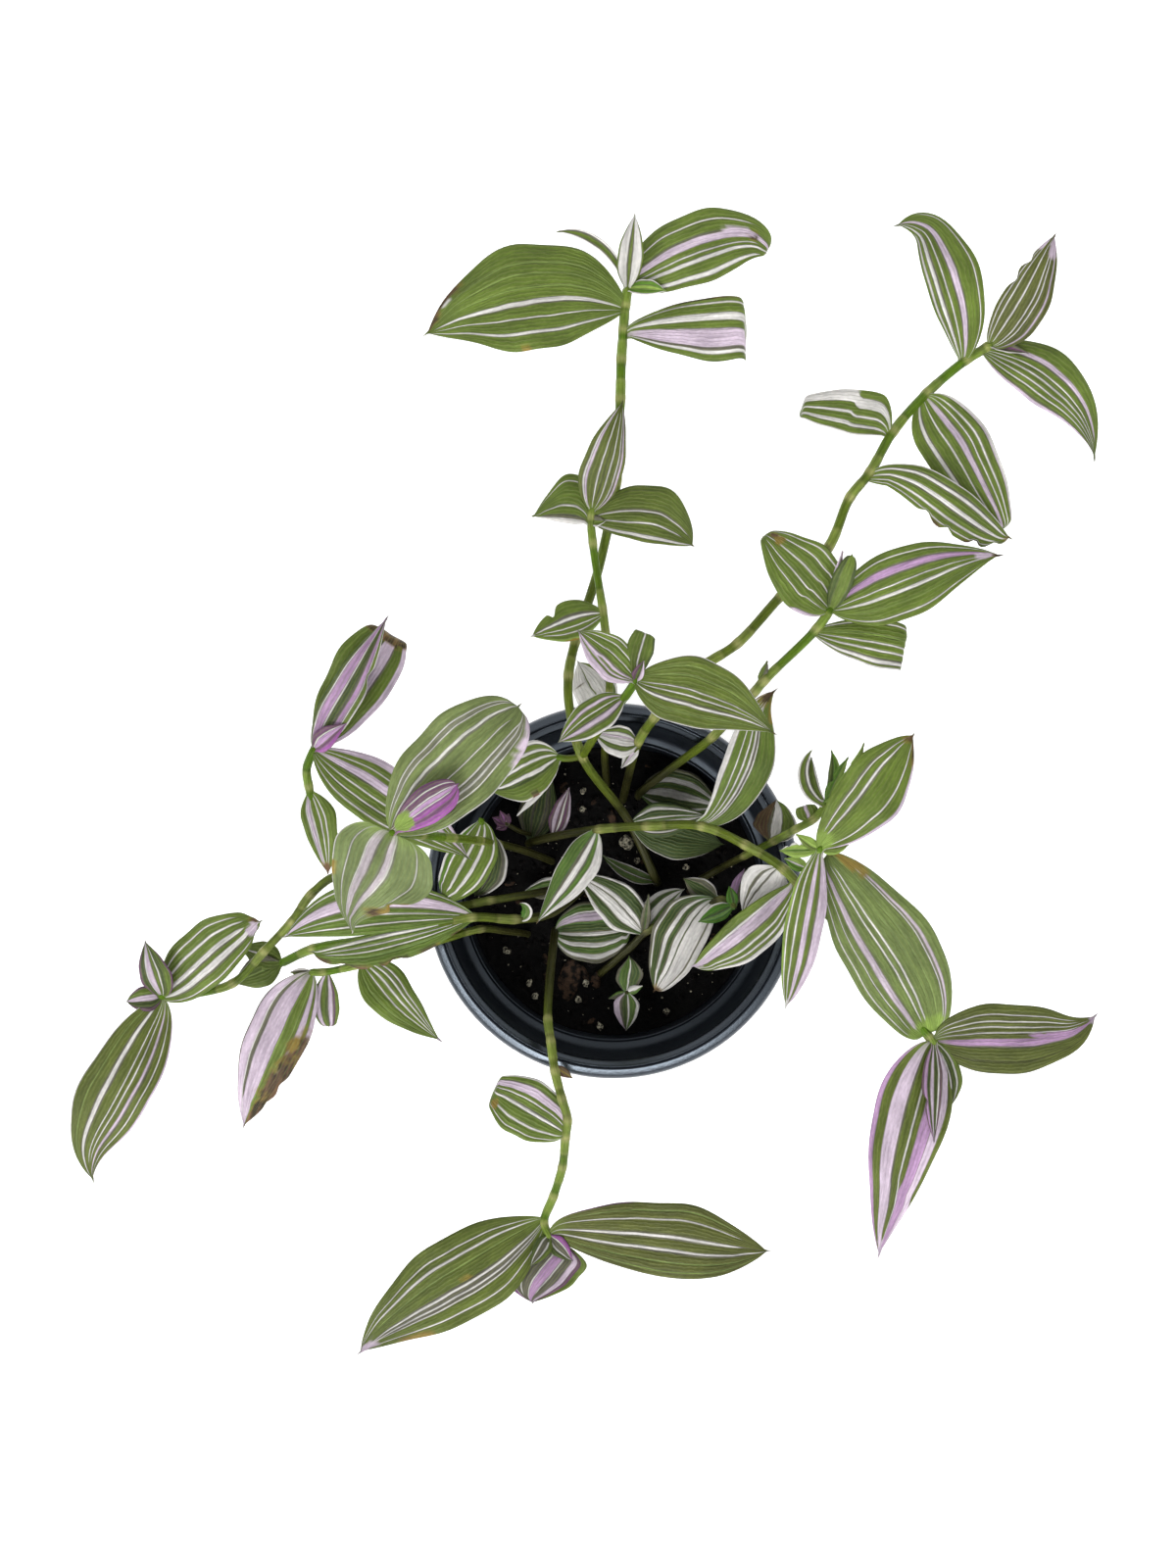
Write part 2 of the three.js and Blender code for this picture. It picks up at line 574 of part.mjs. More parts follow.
function facetedGeometry(points, faces) {
  const geometry = new THREE.BufferGeometry();
  geometry.setAttribute("position", new THREE.Float32BufferAttribute(points.flat(), 3));
  geometry.setIndex(faces.flat());
  return geometry;
}

function onSoil([column, row]) {
  const place = pointAt([column, row, SOIL_TOP]);
  place.z = soilHeight(place.x, place.y);
  return place;
}

function granule(place, radius, draw) {
  const lump = new THREE.IcosahedronGeometry(radius, 0);
  lump.scale(1, 0.75 + 0.25 * draw(), 0.8);
  lump.rotateX(draw() * Math.PI);
  lump.rotateZ(draw() * Math.PI);
  lump.translate(place.x, place.y, place.z + 0.25 * radius);
  return solidOf(lump);
}

function barkChip({ at, length, width, angle }) {
  const chip = new THREE.CylinderGeometry(width / 2, width / 2, BARK_THICKNESS, 7);
  chip.rotateX(Math.PI / 2 + BARK_TILT);
  chip.scale(length / width, 1, 1);
  chip.rotateZ(THREE.MathUtils.degToRad(angle));
  const place = onSoil(at);
  chip.translate(place.x, place.y, place.z);
  return solidOf(chip);
}

function scatteredPlaces(draw) {
  const reach = potInnerRadius(SOIL_TOP) - 6;
  return Array.from({ length: SOIL.crumbs }, () => {
    const angle = 2 * Math.PI * draw();
    const radius = reach * Math.sqrt(draw());
    const place = new THREE.Vector3(radius * Math.cos(angle), radius * Math.sin(angle), 0);
    place.z = soilHeight(place.x, place.y);
    return place;
  });
}

// The mix with its perlite and bark, and a plain hole for each stem.
function makeSoil(holes) {
  const draw = seededDraw(SOIL.seed);
  const [small, big] = SOIL.crumbRadius;
  const placed = Object.values(PERLITE).map(({ at, radius }) => granule(onSoil(at), radius, draw));
  const scattered = scatteredPlaces(draw).map((place) => (
    granule(place, THREE.MathUtils.lerp(small, big, draw()), draw)
  ));
  const chips = Object.values(BARK).map(barkChip);
  const mix = fuse([soilBody(), ...chips, ...placed, ...scattered]);
  const [body] = mix.subtract(fuse(holes)).decompose().sort((a, b) => b.volume() - a.volume());
  return body;
}

// ---------------------------------------------------------------- stems

function stemCurve(points) {
  return new THREE.CatmullRomCurve3(points, false, "centripetal");
}

function stemTube(curve, radius) {
  const corners = Array.from({ length: STEM_SIDES }, (_, i) => {
    const angle = i * (2 * Math.PI / STEM_SIDES);
    return new THREE.Vector2(radius * Math.cos(angle), radius * Math.sin(angle));
  });
  return solidOf(new THREE.ExtrudeGeometry(new THREE.Shape(corners), {
    steps: stemSteps(curve), extrudePath: curve, bevelEnabled: false,
  }));
}

function stemSteps(curve) {
  return Math.max(3, Math.round(curve.getLength() / STEM_STEP));
}

// The point on a stem's straight stretches that is nearest to a place.
function nearestOnStem(curve, place) {
  const ends = curve.getSpacedPoints(stemSteps(curve));
  const candidates = ends.slice(1).map((end, i) => (
    new THREE.Line3(ends[i], end).closestPointToPoint(place, true, new THREE.Vector3())
  ));
  return candidates.reduce((best, point) => (
    point.distanceTo(place) < best.distanceTo(place) ? point : best
  ));
}

// The hole that a stem stands in: the same run, a little wider and deeper.
function stemHole(points, radius) {
  const deeper = points[0].clone();
  deeper.z -= CLEARANCE;
  return stemTube(stemCurve([deeper, ...points.slice(1)]), radius + CLEARANCE);
}

// ---------------------------------------------------------------- leaves

// A leaf's centre line for a length of 1 that leaves along +X: points, headings and pitches.
function unitLine({ rise, fall, turn = 0, bend }) {
  const line = [{ place: new THREE.Vector3(), heading: 0, pitch: pitchAt(0) }];
  function pitchAt(along) {
    const start = bend ? bend.at - BEND_REACH : 1;
    const droop = bend ? bend.drop * THREE.MathUtils.smoothstep(along, start, start + 2 * BEND_REACH) : 0;
    const pitch = rise - fall * along ** FALL_POWER - droop;
    return THREE.MathUtils.degToRad(Math.max(pitch, STEEPEST));
  }
  for (let i = 0; i < LINE_STEPS; i += 1) {
    const along = (i + 0.5) / LINE_STEPS;
    const heading = THREE.MathUtils.degToRad(turn * along);
    const pitch = pitchAt(along);
    const step = new THREE.Vector3(
      Math.cos(pitch) * Math.cos(heading), Math.cos(pitch) * Math.sin(heading), Math.sin(pitch),
    );
    line.push({
      place: line[i].place.clone().addScaledVector(step, 1 / LINE_STEPS),
      heading,
      pitch,
    });
  }
  return line;
}

// The length and heading that bring an offset of the unit line onto a pixel's sight line:
// base + length * turned offset meets it, which is a quadratic in the length.
function reachPixel(base, offset, pixel) {
  const slope = sightLine(pixel);
  const gap = slope.clone().multiplyScalar(EYE_HEIGHT - base.z).sub(new THREE.Vector2(base.x, base.y));
  const flat = Math.hypot(offset.x, offset.y);
  const a = flat ** 2 - offset.z ** 2 * slope.lengthSq();
  const b = 2 * offset.z * gap.dot(slope);
  const length = (-b + Math.sqrt(b * b + 4 * a * gap.lengthSq())) / (2 * a);
  const aim = gap.addScaledVector(slope, -length * offset.z);
  return { length, heading: aim.angle() - Math.atan2(offset.y, offset.x) };
}

// Half width along a blade: narrow at the stem, full at its widest place, pointed at the tip.
function halfWidth(along, { width, widest = WIDEST }) {
  const power = Math.log(0.5) / Math.log(widest);
  const full = (width / 2) * Math.sin(Math.PI * along ** power) ** BLADE_ROUNDING;
  const least = THREE.MathUtils.lerp(BLADE_ROOT_WIDTH, BLADE_TIP_WIDTH, along) / 2;
  return Math.max(full, least);
}

// Where along a blade its cross sections are, closer together about a bend.
function bladeStations({ width, bend }) {
  if (bend) {
    return [0, 0.08, 0.24, 0.44, bend.at - BEND_REACH, bend.at, bend.at + BEND_REACH, 1];
  }
  if (width > WIDE_BLADE) {
    return [0, 0.07, 0.2, 0.38, 0.58, 0.78, 0.92, 1];
  }
  return width > NARROW_BLADE ? [0, 0.1, 0.3, 0.55, 0.8, 1] : [0, 0.25, 0.6, 1];
}

// A thin closed blade: the same grid of points above and below the leaf's own surface.
function makeBlade(base, leaf) {
  const line = unitLine(leaf);
  const pickIndex = Math.round((leaf.bend ? leaf.bend.at : 1) * LINE_STEPS);
  const aim = reachPixel(base, line[pickIndex].place, leaf.tip);
  const fold = THREE.MathUtils.degToRad(leaf.fold);
  const upright = new THREE.Vector3(0, 0, 1);
  const stations = bladeStations(leaf);
  const top = [];
  const under = [];
  for (const along of stations) {
    const { place, heading, pitch } = line[Math.round(along * LINE_STEPS)];
    const centre = place.clone().multiplyScalar(aim.length).applyAxisAngle(upright, aim.heading).add(base);
    const facing = heading + aim.heading;
    const side = new THREE.Vector3(-Math.sin(facing), Math.cos(facing), 0);
    const normal = new THREE.Vector3(
      -Math.sin(pitch) * Math.cos(facing), -Math.sin(pitch) * Math.sin(facing), Math.cos(pitch),
    );
    const half = halfWidth(along, leaf);
    for (const reach of BLADE_ACROSS) {
      const point = centre.clone()
        .addScaledVector(side, half * reach * Math.cos(fold))
        .addScaledVector(normal, half * Math.abs(reach) * Math.sin(fold));
      top.push(point.clone().addScaledVector(normal, BLADE_THICKNESS / 2).toArray());
      under.push(point.clone().addScaledVector(normal, -BLADE_THICKNESS / 2).toArray());
    }
  }
  return solidOf(facetedGeometry([...top, ...under], bladeFaces(stations.length, BLADE_ACROSS.length)));
}

// Both faces of a blade split alike, and the band round its edge.
function bladeFaces(rows, columns) {
  const lower = rows * columns;
  const at = (row, column) => row * columns + column;
  const faces = [];
  for (let row = 0; row < rows - 1; row += 1) {
    for (let column = 0; column < columns - 1; column += 1) {
      const [a, b] = [at(row, column), at(row + 1, column)];
      const [c, d] = [at(row + 1, column + 1), at(row, column + 1)];
      faces.push([a, b, c], [a, c, d]);
      faces.push([a + lower, c + lower, b + lower], [a + lower, d + lower, c + lower]);
    }
  }
  const rim = [
    ...Array.from({ length: rows - 1 }, (_, row) => at(row, 0)),
    ...Array.from({ length: columns - 1 }, (_, column) => at(rows - 1, column)),
    ...Array.from({ length: rows - 1 }, (_, row) => at(rows - 1 - row, columns - 1)),
    ...Array.from({ length: columns - 1 }, (_, column) => at(0, columns - 1 - column)),
  ];
  rim.forEach((from, i) => {
    const to = rim[(i + 1) % rim.length];
    faces.push([from, from + lower, to + lower], [from, to + lower, to]);
  });
  return faces;
}

// ---------------------------------------------------------------- shoots

// The pieces of one stem: its tube, its blades and those of its branches.
function growStem({ radius, stem, leaves, branches = [] }, start) {
  const names = Object.keys(stem);
  const points = Object.values(stem).map(pointAt);
  const whole = start ? [start, ...points] : points;
  const offset = start ? 1 : 0;
  const curve = stemCurve(whole);
  const blades = Object.values(leaves).map((leaf) => {
    const along = (names.indexOf(leaf.on) + offset) / (whole.length - 1);
    const sunk = curve.getPoint(along).addScaledVector(curve.getTangent(along), -ROOT_SINK);
    return makeBlade(nearestOnStem(curve, sunk), leaf);
  });
  const limbs = branches.flatMap((branch) => growStem(branch, points[names.indexOf(branch.from)]));
  return [stemTube(curve, radius), ...blades, ...limbs];
}

// ---------------------------------------------------------------- the whole plant

const plant = new THREE.Group();
const holes = SHOOTS.map(({ stem, radius }) => stemHole(Object.values(stem).map(pointAt), radius));
plant.add(nodeMesh("pot", makePot(), COLOURS.pot, 0.42));
plant.add(nodeMesh("soil", makeSoil(holes), COLOURS.soil, 0.95));
for (const shoot of SHOOTS) {
  plant.add(nodeMesh(shoot.name, fuse(growStem(shoot)), COLOURS.foliage, 0.55));
}

export default plant;
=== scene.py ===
"""A potted tradescantia with striped leaves: its looks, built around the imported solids.

The plant's places are worked out in millimetres, in the solids' own frame, and every mesh is
written in metres with its object at the origin.
"""
import logging
import math
import re
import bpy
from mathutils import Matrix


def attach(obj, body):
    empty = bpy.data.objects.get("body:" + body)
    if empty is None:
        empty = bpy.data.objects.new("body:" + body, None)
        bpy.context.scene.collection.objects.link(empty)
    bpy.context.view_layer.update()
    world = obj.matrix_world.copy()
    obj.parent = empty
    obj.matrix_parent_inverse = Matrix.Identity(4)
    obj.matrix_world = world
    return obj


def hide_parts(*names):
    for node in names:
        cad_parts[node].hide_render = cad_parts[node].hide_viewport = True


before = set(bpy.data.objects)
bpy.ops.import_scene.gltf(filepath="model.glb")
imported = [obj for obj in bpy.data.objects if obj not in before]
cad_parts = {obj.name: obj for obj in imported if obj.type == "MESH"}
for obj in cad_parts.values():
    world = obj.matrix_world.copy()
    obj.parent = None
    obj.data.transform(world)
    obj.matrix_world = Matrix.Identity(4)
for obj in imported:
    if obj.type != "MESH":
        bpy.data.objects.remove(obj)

import zlib
from dataclasses import dataclass, field
from enum import Enum

import bpy
import numpy as np

Pair = tuple[float, float]
Triple = tuple[float, float, float]
Layers = tuple[tuple[float, float, int], ...]  # noise: the share, size and seed of each layer

LOG = logging.getLogger("tradescantia")
METRES = 0.001  # one millimetre
WHITE = (1.0, 1.0, 1.0, 1.0)
FULL_LIGHT = 1.5  # what a white surface in the open sends back, where 1 shows as white


# ---------------------------------------------------------------- the photograph's view


@dataclass(frozen=True)
class Eye:
    """The view from straight above the pot that the plant's places are read in.

    A place is [column, row, height]: the pixel where it shows and its height in millimetres.
    """

    column: float = 626.0         # the pixel over the pot's centre
    row: float = 909.0
    rim_pixels: float = 193.0     # outer radius of the rim, in pixels and in millimetres
    rim_radius: float = 63.5
    above_rim: float = 550.0
    rim_height: float = 115.0
    frame_columns: float = 1200.0
    frame_rows: float = 1600.0

    @property
    def height(self) -> float:
        """Height of the eye over the floor, in millimetres."""
        return self.rim_height + self.above_rim

    @property
    def slope(self) -> float:
        """How far one pixel goes sideways for each millimetre below the eye."""
        return self.rim_radius / self.rim_pixels / self.above_rim

    def sight(self, pixel: Pair) -> np.ndarray:
        """Sideways run of the sight line through a pixel, for each millimetre that it drops."""
        return np.array([pixel[0] - self.column, self.row - pixel[1]]) * self.slope

    def place(self, pick: Triple) -> np.ndarray:
        """The point at a height that shows at a pixel, in millimetres."""
        across = self.sight(pick[:2]) * (self.height - pick[2])
        return np.array([across[0], across[1], pick[2]])


EYE = Eye()


# ---------------------------------------------------------------- number helpers


def smoothstep(value: np.ndarray, low: float, high: float) -> np.ndarray:
    """Rises from 0 at low to 1 at high with level ends: 3 x squared less 2 x cubed.

    Args:
        value: where to work it out.
        low: where the rise starts; it may lie above high, and then the curve falls.
        high: where it ends.

    Returns:
        Numbers from 0 to 1 in the shape of value.
    """
    x = np.clip((value - low) / (high - low), 0, 1)
    return x * x * (3 - 2 * x)


def bell(distance: np.ndarray, width: float) -> np.ndarray:
    """1 at a distance of 0, falling on both sides as e to the minus square of distance by width."""
    return np.exp(-((distance / width) ** 2))


def rotated(x: np.ndarray, y: np.ndarray, angle: np.ndarray | float) -> tuple[np.ndarray, np.ndarray]:
    """Places turned about the origin by an angle in radians."""
    return x * np.cos(angle) - y * np.sin(angle), x * np.sin(angle) + y * np.cos(angle)


def blended(first: np.ndarray, second: np.ndarray, share: np.ndarray | float) -> np.ndarray:
    """The first goes over to the second by the second's share."""
    return first * (1 - share) + second * share


def seeded(name: str) -> np.random.Generator:
    """A repeatable stream of random numbers that belongs to a name."""
    return np.random.default_rng(zlib.crc32(name.encode()))


def linear(colour: Triple) -> np.ndarray:
    """A screen colour as linear light: the power 2.4 of its offset share.

    Args:
        colour: red, green and blue from 0 to 255.

    Returns:
        Three shares of light.
    """
    full, knee, slope, offset, power = 255, 0.04045, 12.92, 0.055, 2.4
    share = np.array(colour, float) / full
    return np.where(share <= knee, share / slope, ((share + offset) / (1 + offset)) ** power)


def lattice_noise(points: np.ndarray, size: float, seed: int) -> np.ndarray:
    """Smooth noise from -1 to 1: random values at the corners of a cube lattice, blended between.

    Args:
        points: places, as an array that ends in an axis of 3.
        size: the lattice's step, in the places' unit.
        seed: picks the pattern.

    Returns:
        One value for each place.
    """
    seed_step, whole, half = 17.31, 0xFFFFFFFF, 0xFFFF
    primes, mixer = np.array([374761393, 668265263, 2147483647]), 1274126177
    scaled = points / size + seed * seed_step
    cell = np.floor(scaled).astype(np.int64)
    part = scaled - cell
    part = part * part * (3 - 2 * part)
    total = np.zeros(points.shape[:-1])
    for corner in np.ndindex(2, 2, 2):
        mixed = ((cell + np.array(corner)) * primes).sum(-1)
        mixed = (mixed ^ (mixed >> 13)) * mixer & whole
        value = ((mixed ^ (mixed >> 16)) & half) / (half / 2) - 1
        weight = np.prod(np.where(np.array(corner), part, 1 - part), axis=-1)
        total += value * weight
    return total


def layered_noise(points: np.ndarray, layers: Layers) -> np.ndarray:
    """Lattice noise at several sizes, added up.

    Args:
        points: places, as an array that ends in an axis of 3.
        layers: the share, size and seed of each.

    Returns:
        One value for each place.
    """
    return sum(share * lattice_noise(points, size, seed) for share, size, seed in layers)


# ---------------------------------------------------------------- colours of the plant


class Pigment(Enum):
    """Screen colours that leaves, stems and buds show in full light, by their letter."""

    GREEN = ("g", (102, 127, 44))
    DEEP = ("d", (64, 86, 38))
    OLIVE = ("k", (90, 90, 42))
    HAZE = ("z", (150, 160, 128))
    VIVID = ("h", (84, 126, 30))
    LIME = ("y", (138, 166, 74))
    SHADE = ("s", (104, 102, 88))
    WHITE = ("w", (233, 230, 226))
    LILAC = ("l", (216, 198, 216))
    VIOLET = ("v", (192, 154, 196))
    PURPLE = ("p", (112, 74, 106))
    MAGENTA = ("m", (164, 92, 168))
    BROWN = ("b", (92, 66, 48))
    OCHRE = ("o", (146, 122, 50))

    @property
    def letter(self) -> str:
        """The letter that stands for this pigment in a leaf's bands."""
        return self.value[0]

    @property
    def light(self) -> np.ndarray:
        """The pigment as a share of the light it gets, so that it shows its screen colour."""
        return linear(self.value[1]) / FULL_LIGHT


LETTERS = {pigment.letter: pigment.light for pigment in Pigment}
PALE = "wlvmys"   # bands that may run out before the leaf's tip
GREENS = "gd"     # bands that a leaf can turn olive
BAND = re.compile(r"([a-z])([\d.]+)(?:>([\d.]+))?(?:<([\d.]+))?")


# ---------------------------------------------------------------- meshes


@dataclass
class Surface:
    """Points, faces, colours and pattern places of one closed shape, in millimetres."""

    points: np.ndarray
    quads: np.ndarray
    triangles: np.ndarray = field(default_factory=lambda: np.zeros((0, 3), int))
    colours: np.ndarray | None = None
    pattern: np.ndarray | None = None


def joined(surfaces: list[Surface]) -> Surface:
    """Several surfaces as one, each face moved on by the points before its own.

    Args:
        surfaces: shapes that all have colours and pattern places, or all have none.

    Returns:
        One surface that holds them all.
    """
    starts = np.cumsum([0] + [len(s.points) for s in surfaces[:-1]])
    has_colours = surfaces[0].colours is not None
    return Surface(
        np.vstack([s.points for s in surfaces]),
        np.vstack([s.quads + start for s, start in zip(surfaces, starts)]),
        np.vstack([s.triangles + start for s, start in zip(surfaces, starts)]),
        np.vstack([s.colours for s in surfaces]) if has_colours else None,
        np.vstack([s.pattern for s in surfaces]) if has_colours else None,
    )


def grid_quads(rows: int, columns: int, wrap: bool = False) -> np.ndarray:
    """Faces of a grid of points, row by row.

    Args:
        rows: points along.
        columns: points across.
        wrap: whether the last column joins the first.

    Returns:
        Four point numbers for each face.
    """
    spans = columns if wrap else columns - 1
    row, column = np.meshgrid(np.arange(rows - 1), np.arange(spans), indexing="ij")
    here, beside = row * columns + column, row * columns + (column + 1) % columns
    return np.stack([here, beside, beside + columns, here + columns], -1).reshape(-1, 4)


def turns(count: int) -> np.ndarray:
    """A full turn in even steps, in radians."""
    return np.arange(count) * (2 * math.pi / count)


def circles(radii: np.ndarray, heights: np.ndarray, around: int) -> np.ndarray:
    """Level circles about Z: radius by cosine, radius by sine, height.

    Args:
        radii: one for each circle.
        heights: one for each circle.
        around: points in a circle.

    Returns:
        The points, by circle and place round it.
    """
    angle, radii = turns(around), radii[:, None]
    parts = radii * np.cos(angle), radii * np.sin(angle), heights[:, None]
    return np.stack(np.broadcast_arrays(*parts), -1)


def spindle(rings: np.ndarray, poles: np.ndarray, downward: bool = False) -> Surface:
    """A closed shape: rings of points joined by four-sided faces, and a point at each end.

    Args:
        rings: points, by ring and place round it.
        poles: the points before the first ring and after the last.
        downward: whether the rings follow each other against the axis that they turn about.

    Returns:
        The shape, its faces turned outward.
    """
    rows, around = rings.shape[:2]
    here, ahead = np.arange(around), (np.arange(around) + 1) % around
    count, last_ring = rows * around, (rows - 1) * around
    first = np.stack([np.full(around, count), ahead, here], 1)
    last = np.stack([np.full(around, count + 1), last_ring + here, last_ring + ahead], 1)
    quads, ends = grid_quads(rows, around, wrap=True), np.vstack([first, last])
    if downward:
        quads, ends = quads[:, ::-1], ends[:, ::-1]
    return Surface(np.vstack([rings.reshape(-1, 3), poles]), quads, ends)


def mesh_object(name: str, surface: Surface, material: bpy.types.Material) -> bpy.types.Object:
    """Puts a surface into Blender as a smooth object at the origin.

    Args:
        name: the object's name.
        surface: its shape, in millimetres.
        material: its finish.

    Returns:
        The new object, linked to the scene.
    """
    mesh = bpy.data.meshes.new(name)
    faces = surface.quads.tolist() + surface.triangles.tolist()
    mesh.from_pydata((surface.points * METRES).tolist(), [], faces)
    mesh.polygons.foreach_set("use_smooth", np.ones(len(mesh.polygons), bool))
    if surface.colours is not None:
        pigment = mesh.color_attributes.new("pigment", "FLOAT_COLOR", "POINT")
        opaque = np.hstack([surface.colours, np.ones((len(surface.colours), 1))])
        pigment.data.foreach_set("color", opaque.astype(np.float32).ravel())
        corners = np.empty(len(mesh.loops), np.int32)
        mesh.loops.foreach_get("vertex_index", corners)
        layer = mesh.uv_layers.new(name="blade")
        layer.data.foreach_set("uv", surface.pattern[corners].astype(np.float32).ravel())
    mesh.materials.append(material)
    mesh.update()
    obj = bpy.data.objects.new(name, mesh)
    bpy.context.scene.collection.objects.link(obj)
    return obj


def dress(obj: bpy.types.Object, slot: str, *nodes: str) -> None:
    """Lets a piece ride on the plant's one body, in place of its solid.

    Args:
        obj: the finished piece.
        slot: the record's material slot; not used.
        nodes: the solids that it stands for.
    """
    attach(obj, "root")
    if nodes:
        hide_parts(*nodes)
    LOG.info("%s: %d faces", obj.name, len(obj.data.polygons))


# ---------------------------------------------------------------- shader helpers


class Nodes:
    """Short ways to place and join shader nodes in one tree."""

    def __init__(self, tree: bpy.types.NodeTree) -> None:
        """Works on the given tree."""
        self.tree = tree

    def add(self, kind: str, label: str = "", **settings: object) -> bpy.types.Node:
        """Adds a node.

        Args:
            kind: the node's type, without the ShaderNode prefix.
            label: a name shown on it.
            settings: its own properties.

        Returns:
            The new node.
        """
        node = self.tree.nodes.new("ShaderNode" + kind)
        node.label = label
        for key, value in settings.items():
            setattr(node, key, value)
        return node

    def feed(self, node: bpy.types.Node, values: dict[str | int, object]) -> bpy.types.Node:
        """Sets a node's inputs.

        Args:
            node: the node.
            values: by an input's name or number, another node's output, a number or a colour.

        Returns:
            The same node.
        """
        for key, value in values.items():
            if isinstance(value, bpy.types.NodeSocket):
                self.tree.links.new(value, node.inputs[key])
            elif value is not None:
                node.inputs[key].default_value = value
        return node

    def math(self, operation: str, first: object, second: object = None) -> bpy.types.NodeSocket:
        """Adds a Math node whose inputs are sockets or plain numbers.

        Args:
            operation: the node's operation.
            first: its first input.
            second: its second input, where it has one.

        Returns:
            The node's output.
        """
        return self.feed(self.add("Math", operation=operation), {0: first, 1: second}).outputs[0]

    def ramp(self, source: bpy.types.NodeSocket, low: float, high: float,
             start: float, end: float) -> bpy.types.NodeSocket:
        """Maps a value from one range onto another and clamps it.

        Args:
            source: the value.
            low: the lower end of its range.
            high: the upper end.
            start: what the lower end becomes.
            end: what the upper end becomes.

        Returns:
            The mapped value.
        """
        ends = {"From Min": low, "From Max": high, "To Min": start, "To Max": end}
        return self.feed(self.add("MapRange", clamp=True), {"Value": source, **ends}).outputs["Result"]

    def mix(self, factor: object, first: object, second: object) -> bpy.types.NodeSocket:
        """Mixes two colours.

        Args:
            factor: the second colour's share, a socket or a number.
            first: a socket, or a linear colour of three numbers.
            second: the same.

        Returns:
            The mixed colour.
        """
        node = self.feed(self.add("Mix", data_type="RGBA"), {"Factor": factor})
        inputs = [key for key, socket in enumerate(node.inputs) if socket.type == "RGBA"]
        for key, value in zip(inputs, (first, second)):
            self.feed(node, {key: value if isinstance(value, bpy.types.NodeSocket) else (*value, 1.0)})
        return next(socket for socket in node.outputs if socket.type == "RGBA")

    def bump(self, height: bpy.types.NodeSocket, strength: float, depth: float) -> bpy.types.NodeSocket:
        """Turns a height into a normal.

        Args:
            height: the relief.
            strength: share of the relief that shows.
            depth: the relief's full depth in metres.

        Returns:
            The normal.
        """
        values = {"Strength": strength, "Distance": depth, "Height": height}
        return self.feed(self.add("Bump"), values).outputs["Normal"]


def new_group(name: str, inputs: dict[str, str], outputs: dict[str, str]) -> bpy.types.ShaderNodeTree:
    """Makes an empty shader node group with named sockets.

    Args:
        name: the group's name.
        inputs: socket type by input name.
        outputs: socket type by output name.

    Returns:
        The group's tree.
    """
    tree = bpy.data.node_groups.new(name, "ShaderNodeTree")
    for direction, sockets in (("INPUT", inputs), ("OUTPUT", outputs)):
        for title, kind in sockets.items():
            tree.interface.new_socket(title, in_out=direction, socket_type="NodeSocket" + kind)
    return tree


@dataclass(frozen=True)
class Pattern:
    """Numbers of the two shared shader groups. The vein group's places are in millimetres."""

    detail: float = 4.0
    relief_finer: float = 5.0     # how much finer the mottle's relief is than its tone
    sway_scale: float = 0.3
    sway: float = 1.4             # how far a vein wanders
    vein_above: float = -0.2      # the sine above which a vein shows
    streak_squeeze: float = 0.12  # shrinks places along, so that spots become streaks
    streak_scale: float = 0.75
    streak_detail: float = 3.0
    cell_squeeze: float = 0.6
    cell_scale: float = 1.15
    cell_reach: float = 0.75
    cell_height: float = 0.5      # share of a vein's height
    usual: Pair = (0.3, 0.7)      # what Blender's noise mostly keeps to


PATTERN = Pattern()


def mottle_group() -> bpy.types.ShaderNodeTree:
    """Uneven tone and fine relief: coarse noise for the tone, finer noise for the height.

    Returns:
        A group from Vector, Scale and Amount to Tone, a factor about 1, and Height.
    """
    tree = new_group(
        "mottle", {"Vector": "Vector", "Scale": "Float", "Amount": "Float"},
        {"Tone": "Float", "Height": "Float"},
    )
    n = Nodes(tree)
    entry, leave = tree.nodes.new("NodeGroupInput"), tree.nodes.new("NodeGroupOutput")
    coarse, fine = n.add("TexNoise", "tone"), n.add("TexNoise", "relief")
    for node, factor in ((coarse, 1.0), (fine, PATTERN.relief_finer)):
        scale = n.math("MULTIPLY", entry.outputs["Scale"], factor)
        n.feed(node, {"Vector": entry.outputs["Vector"], "Scale": scale, "Detail": PATTERN.detail})
    swing = n.math("MULTIPLY", n.math("SUBTRACT", coarse.outputs["Fac"], 0.5), entry.outputs["Amount"])
    tone = n.math("ADD", n.math("MULTIPLY", swing, 2.0), 1.0)
    n.feed(leave, {"Tone": tone, "Height": fine.outputs["Fac"]})
    return tree


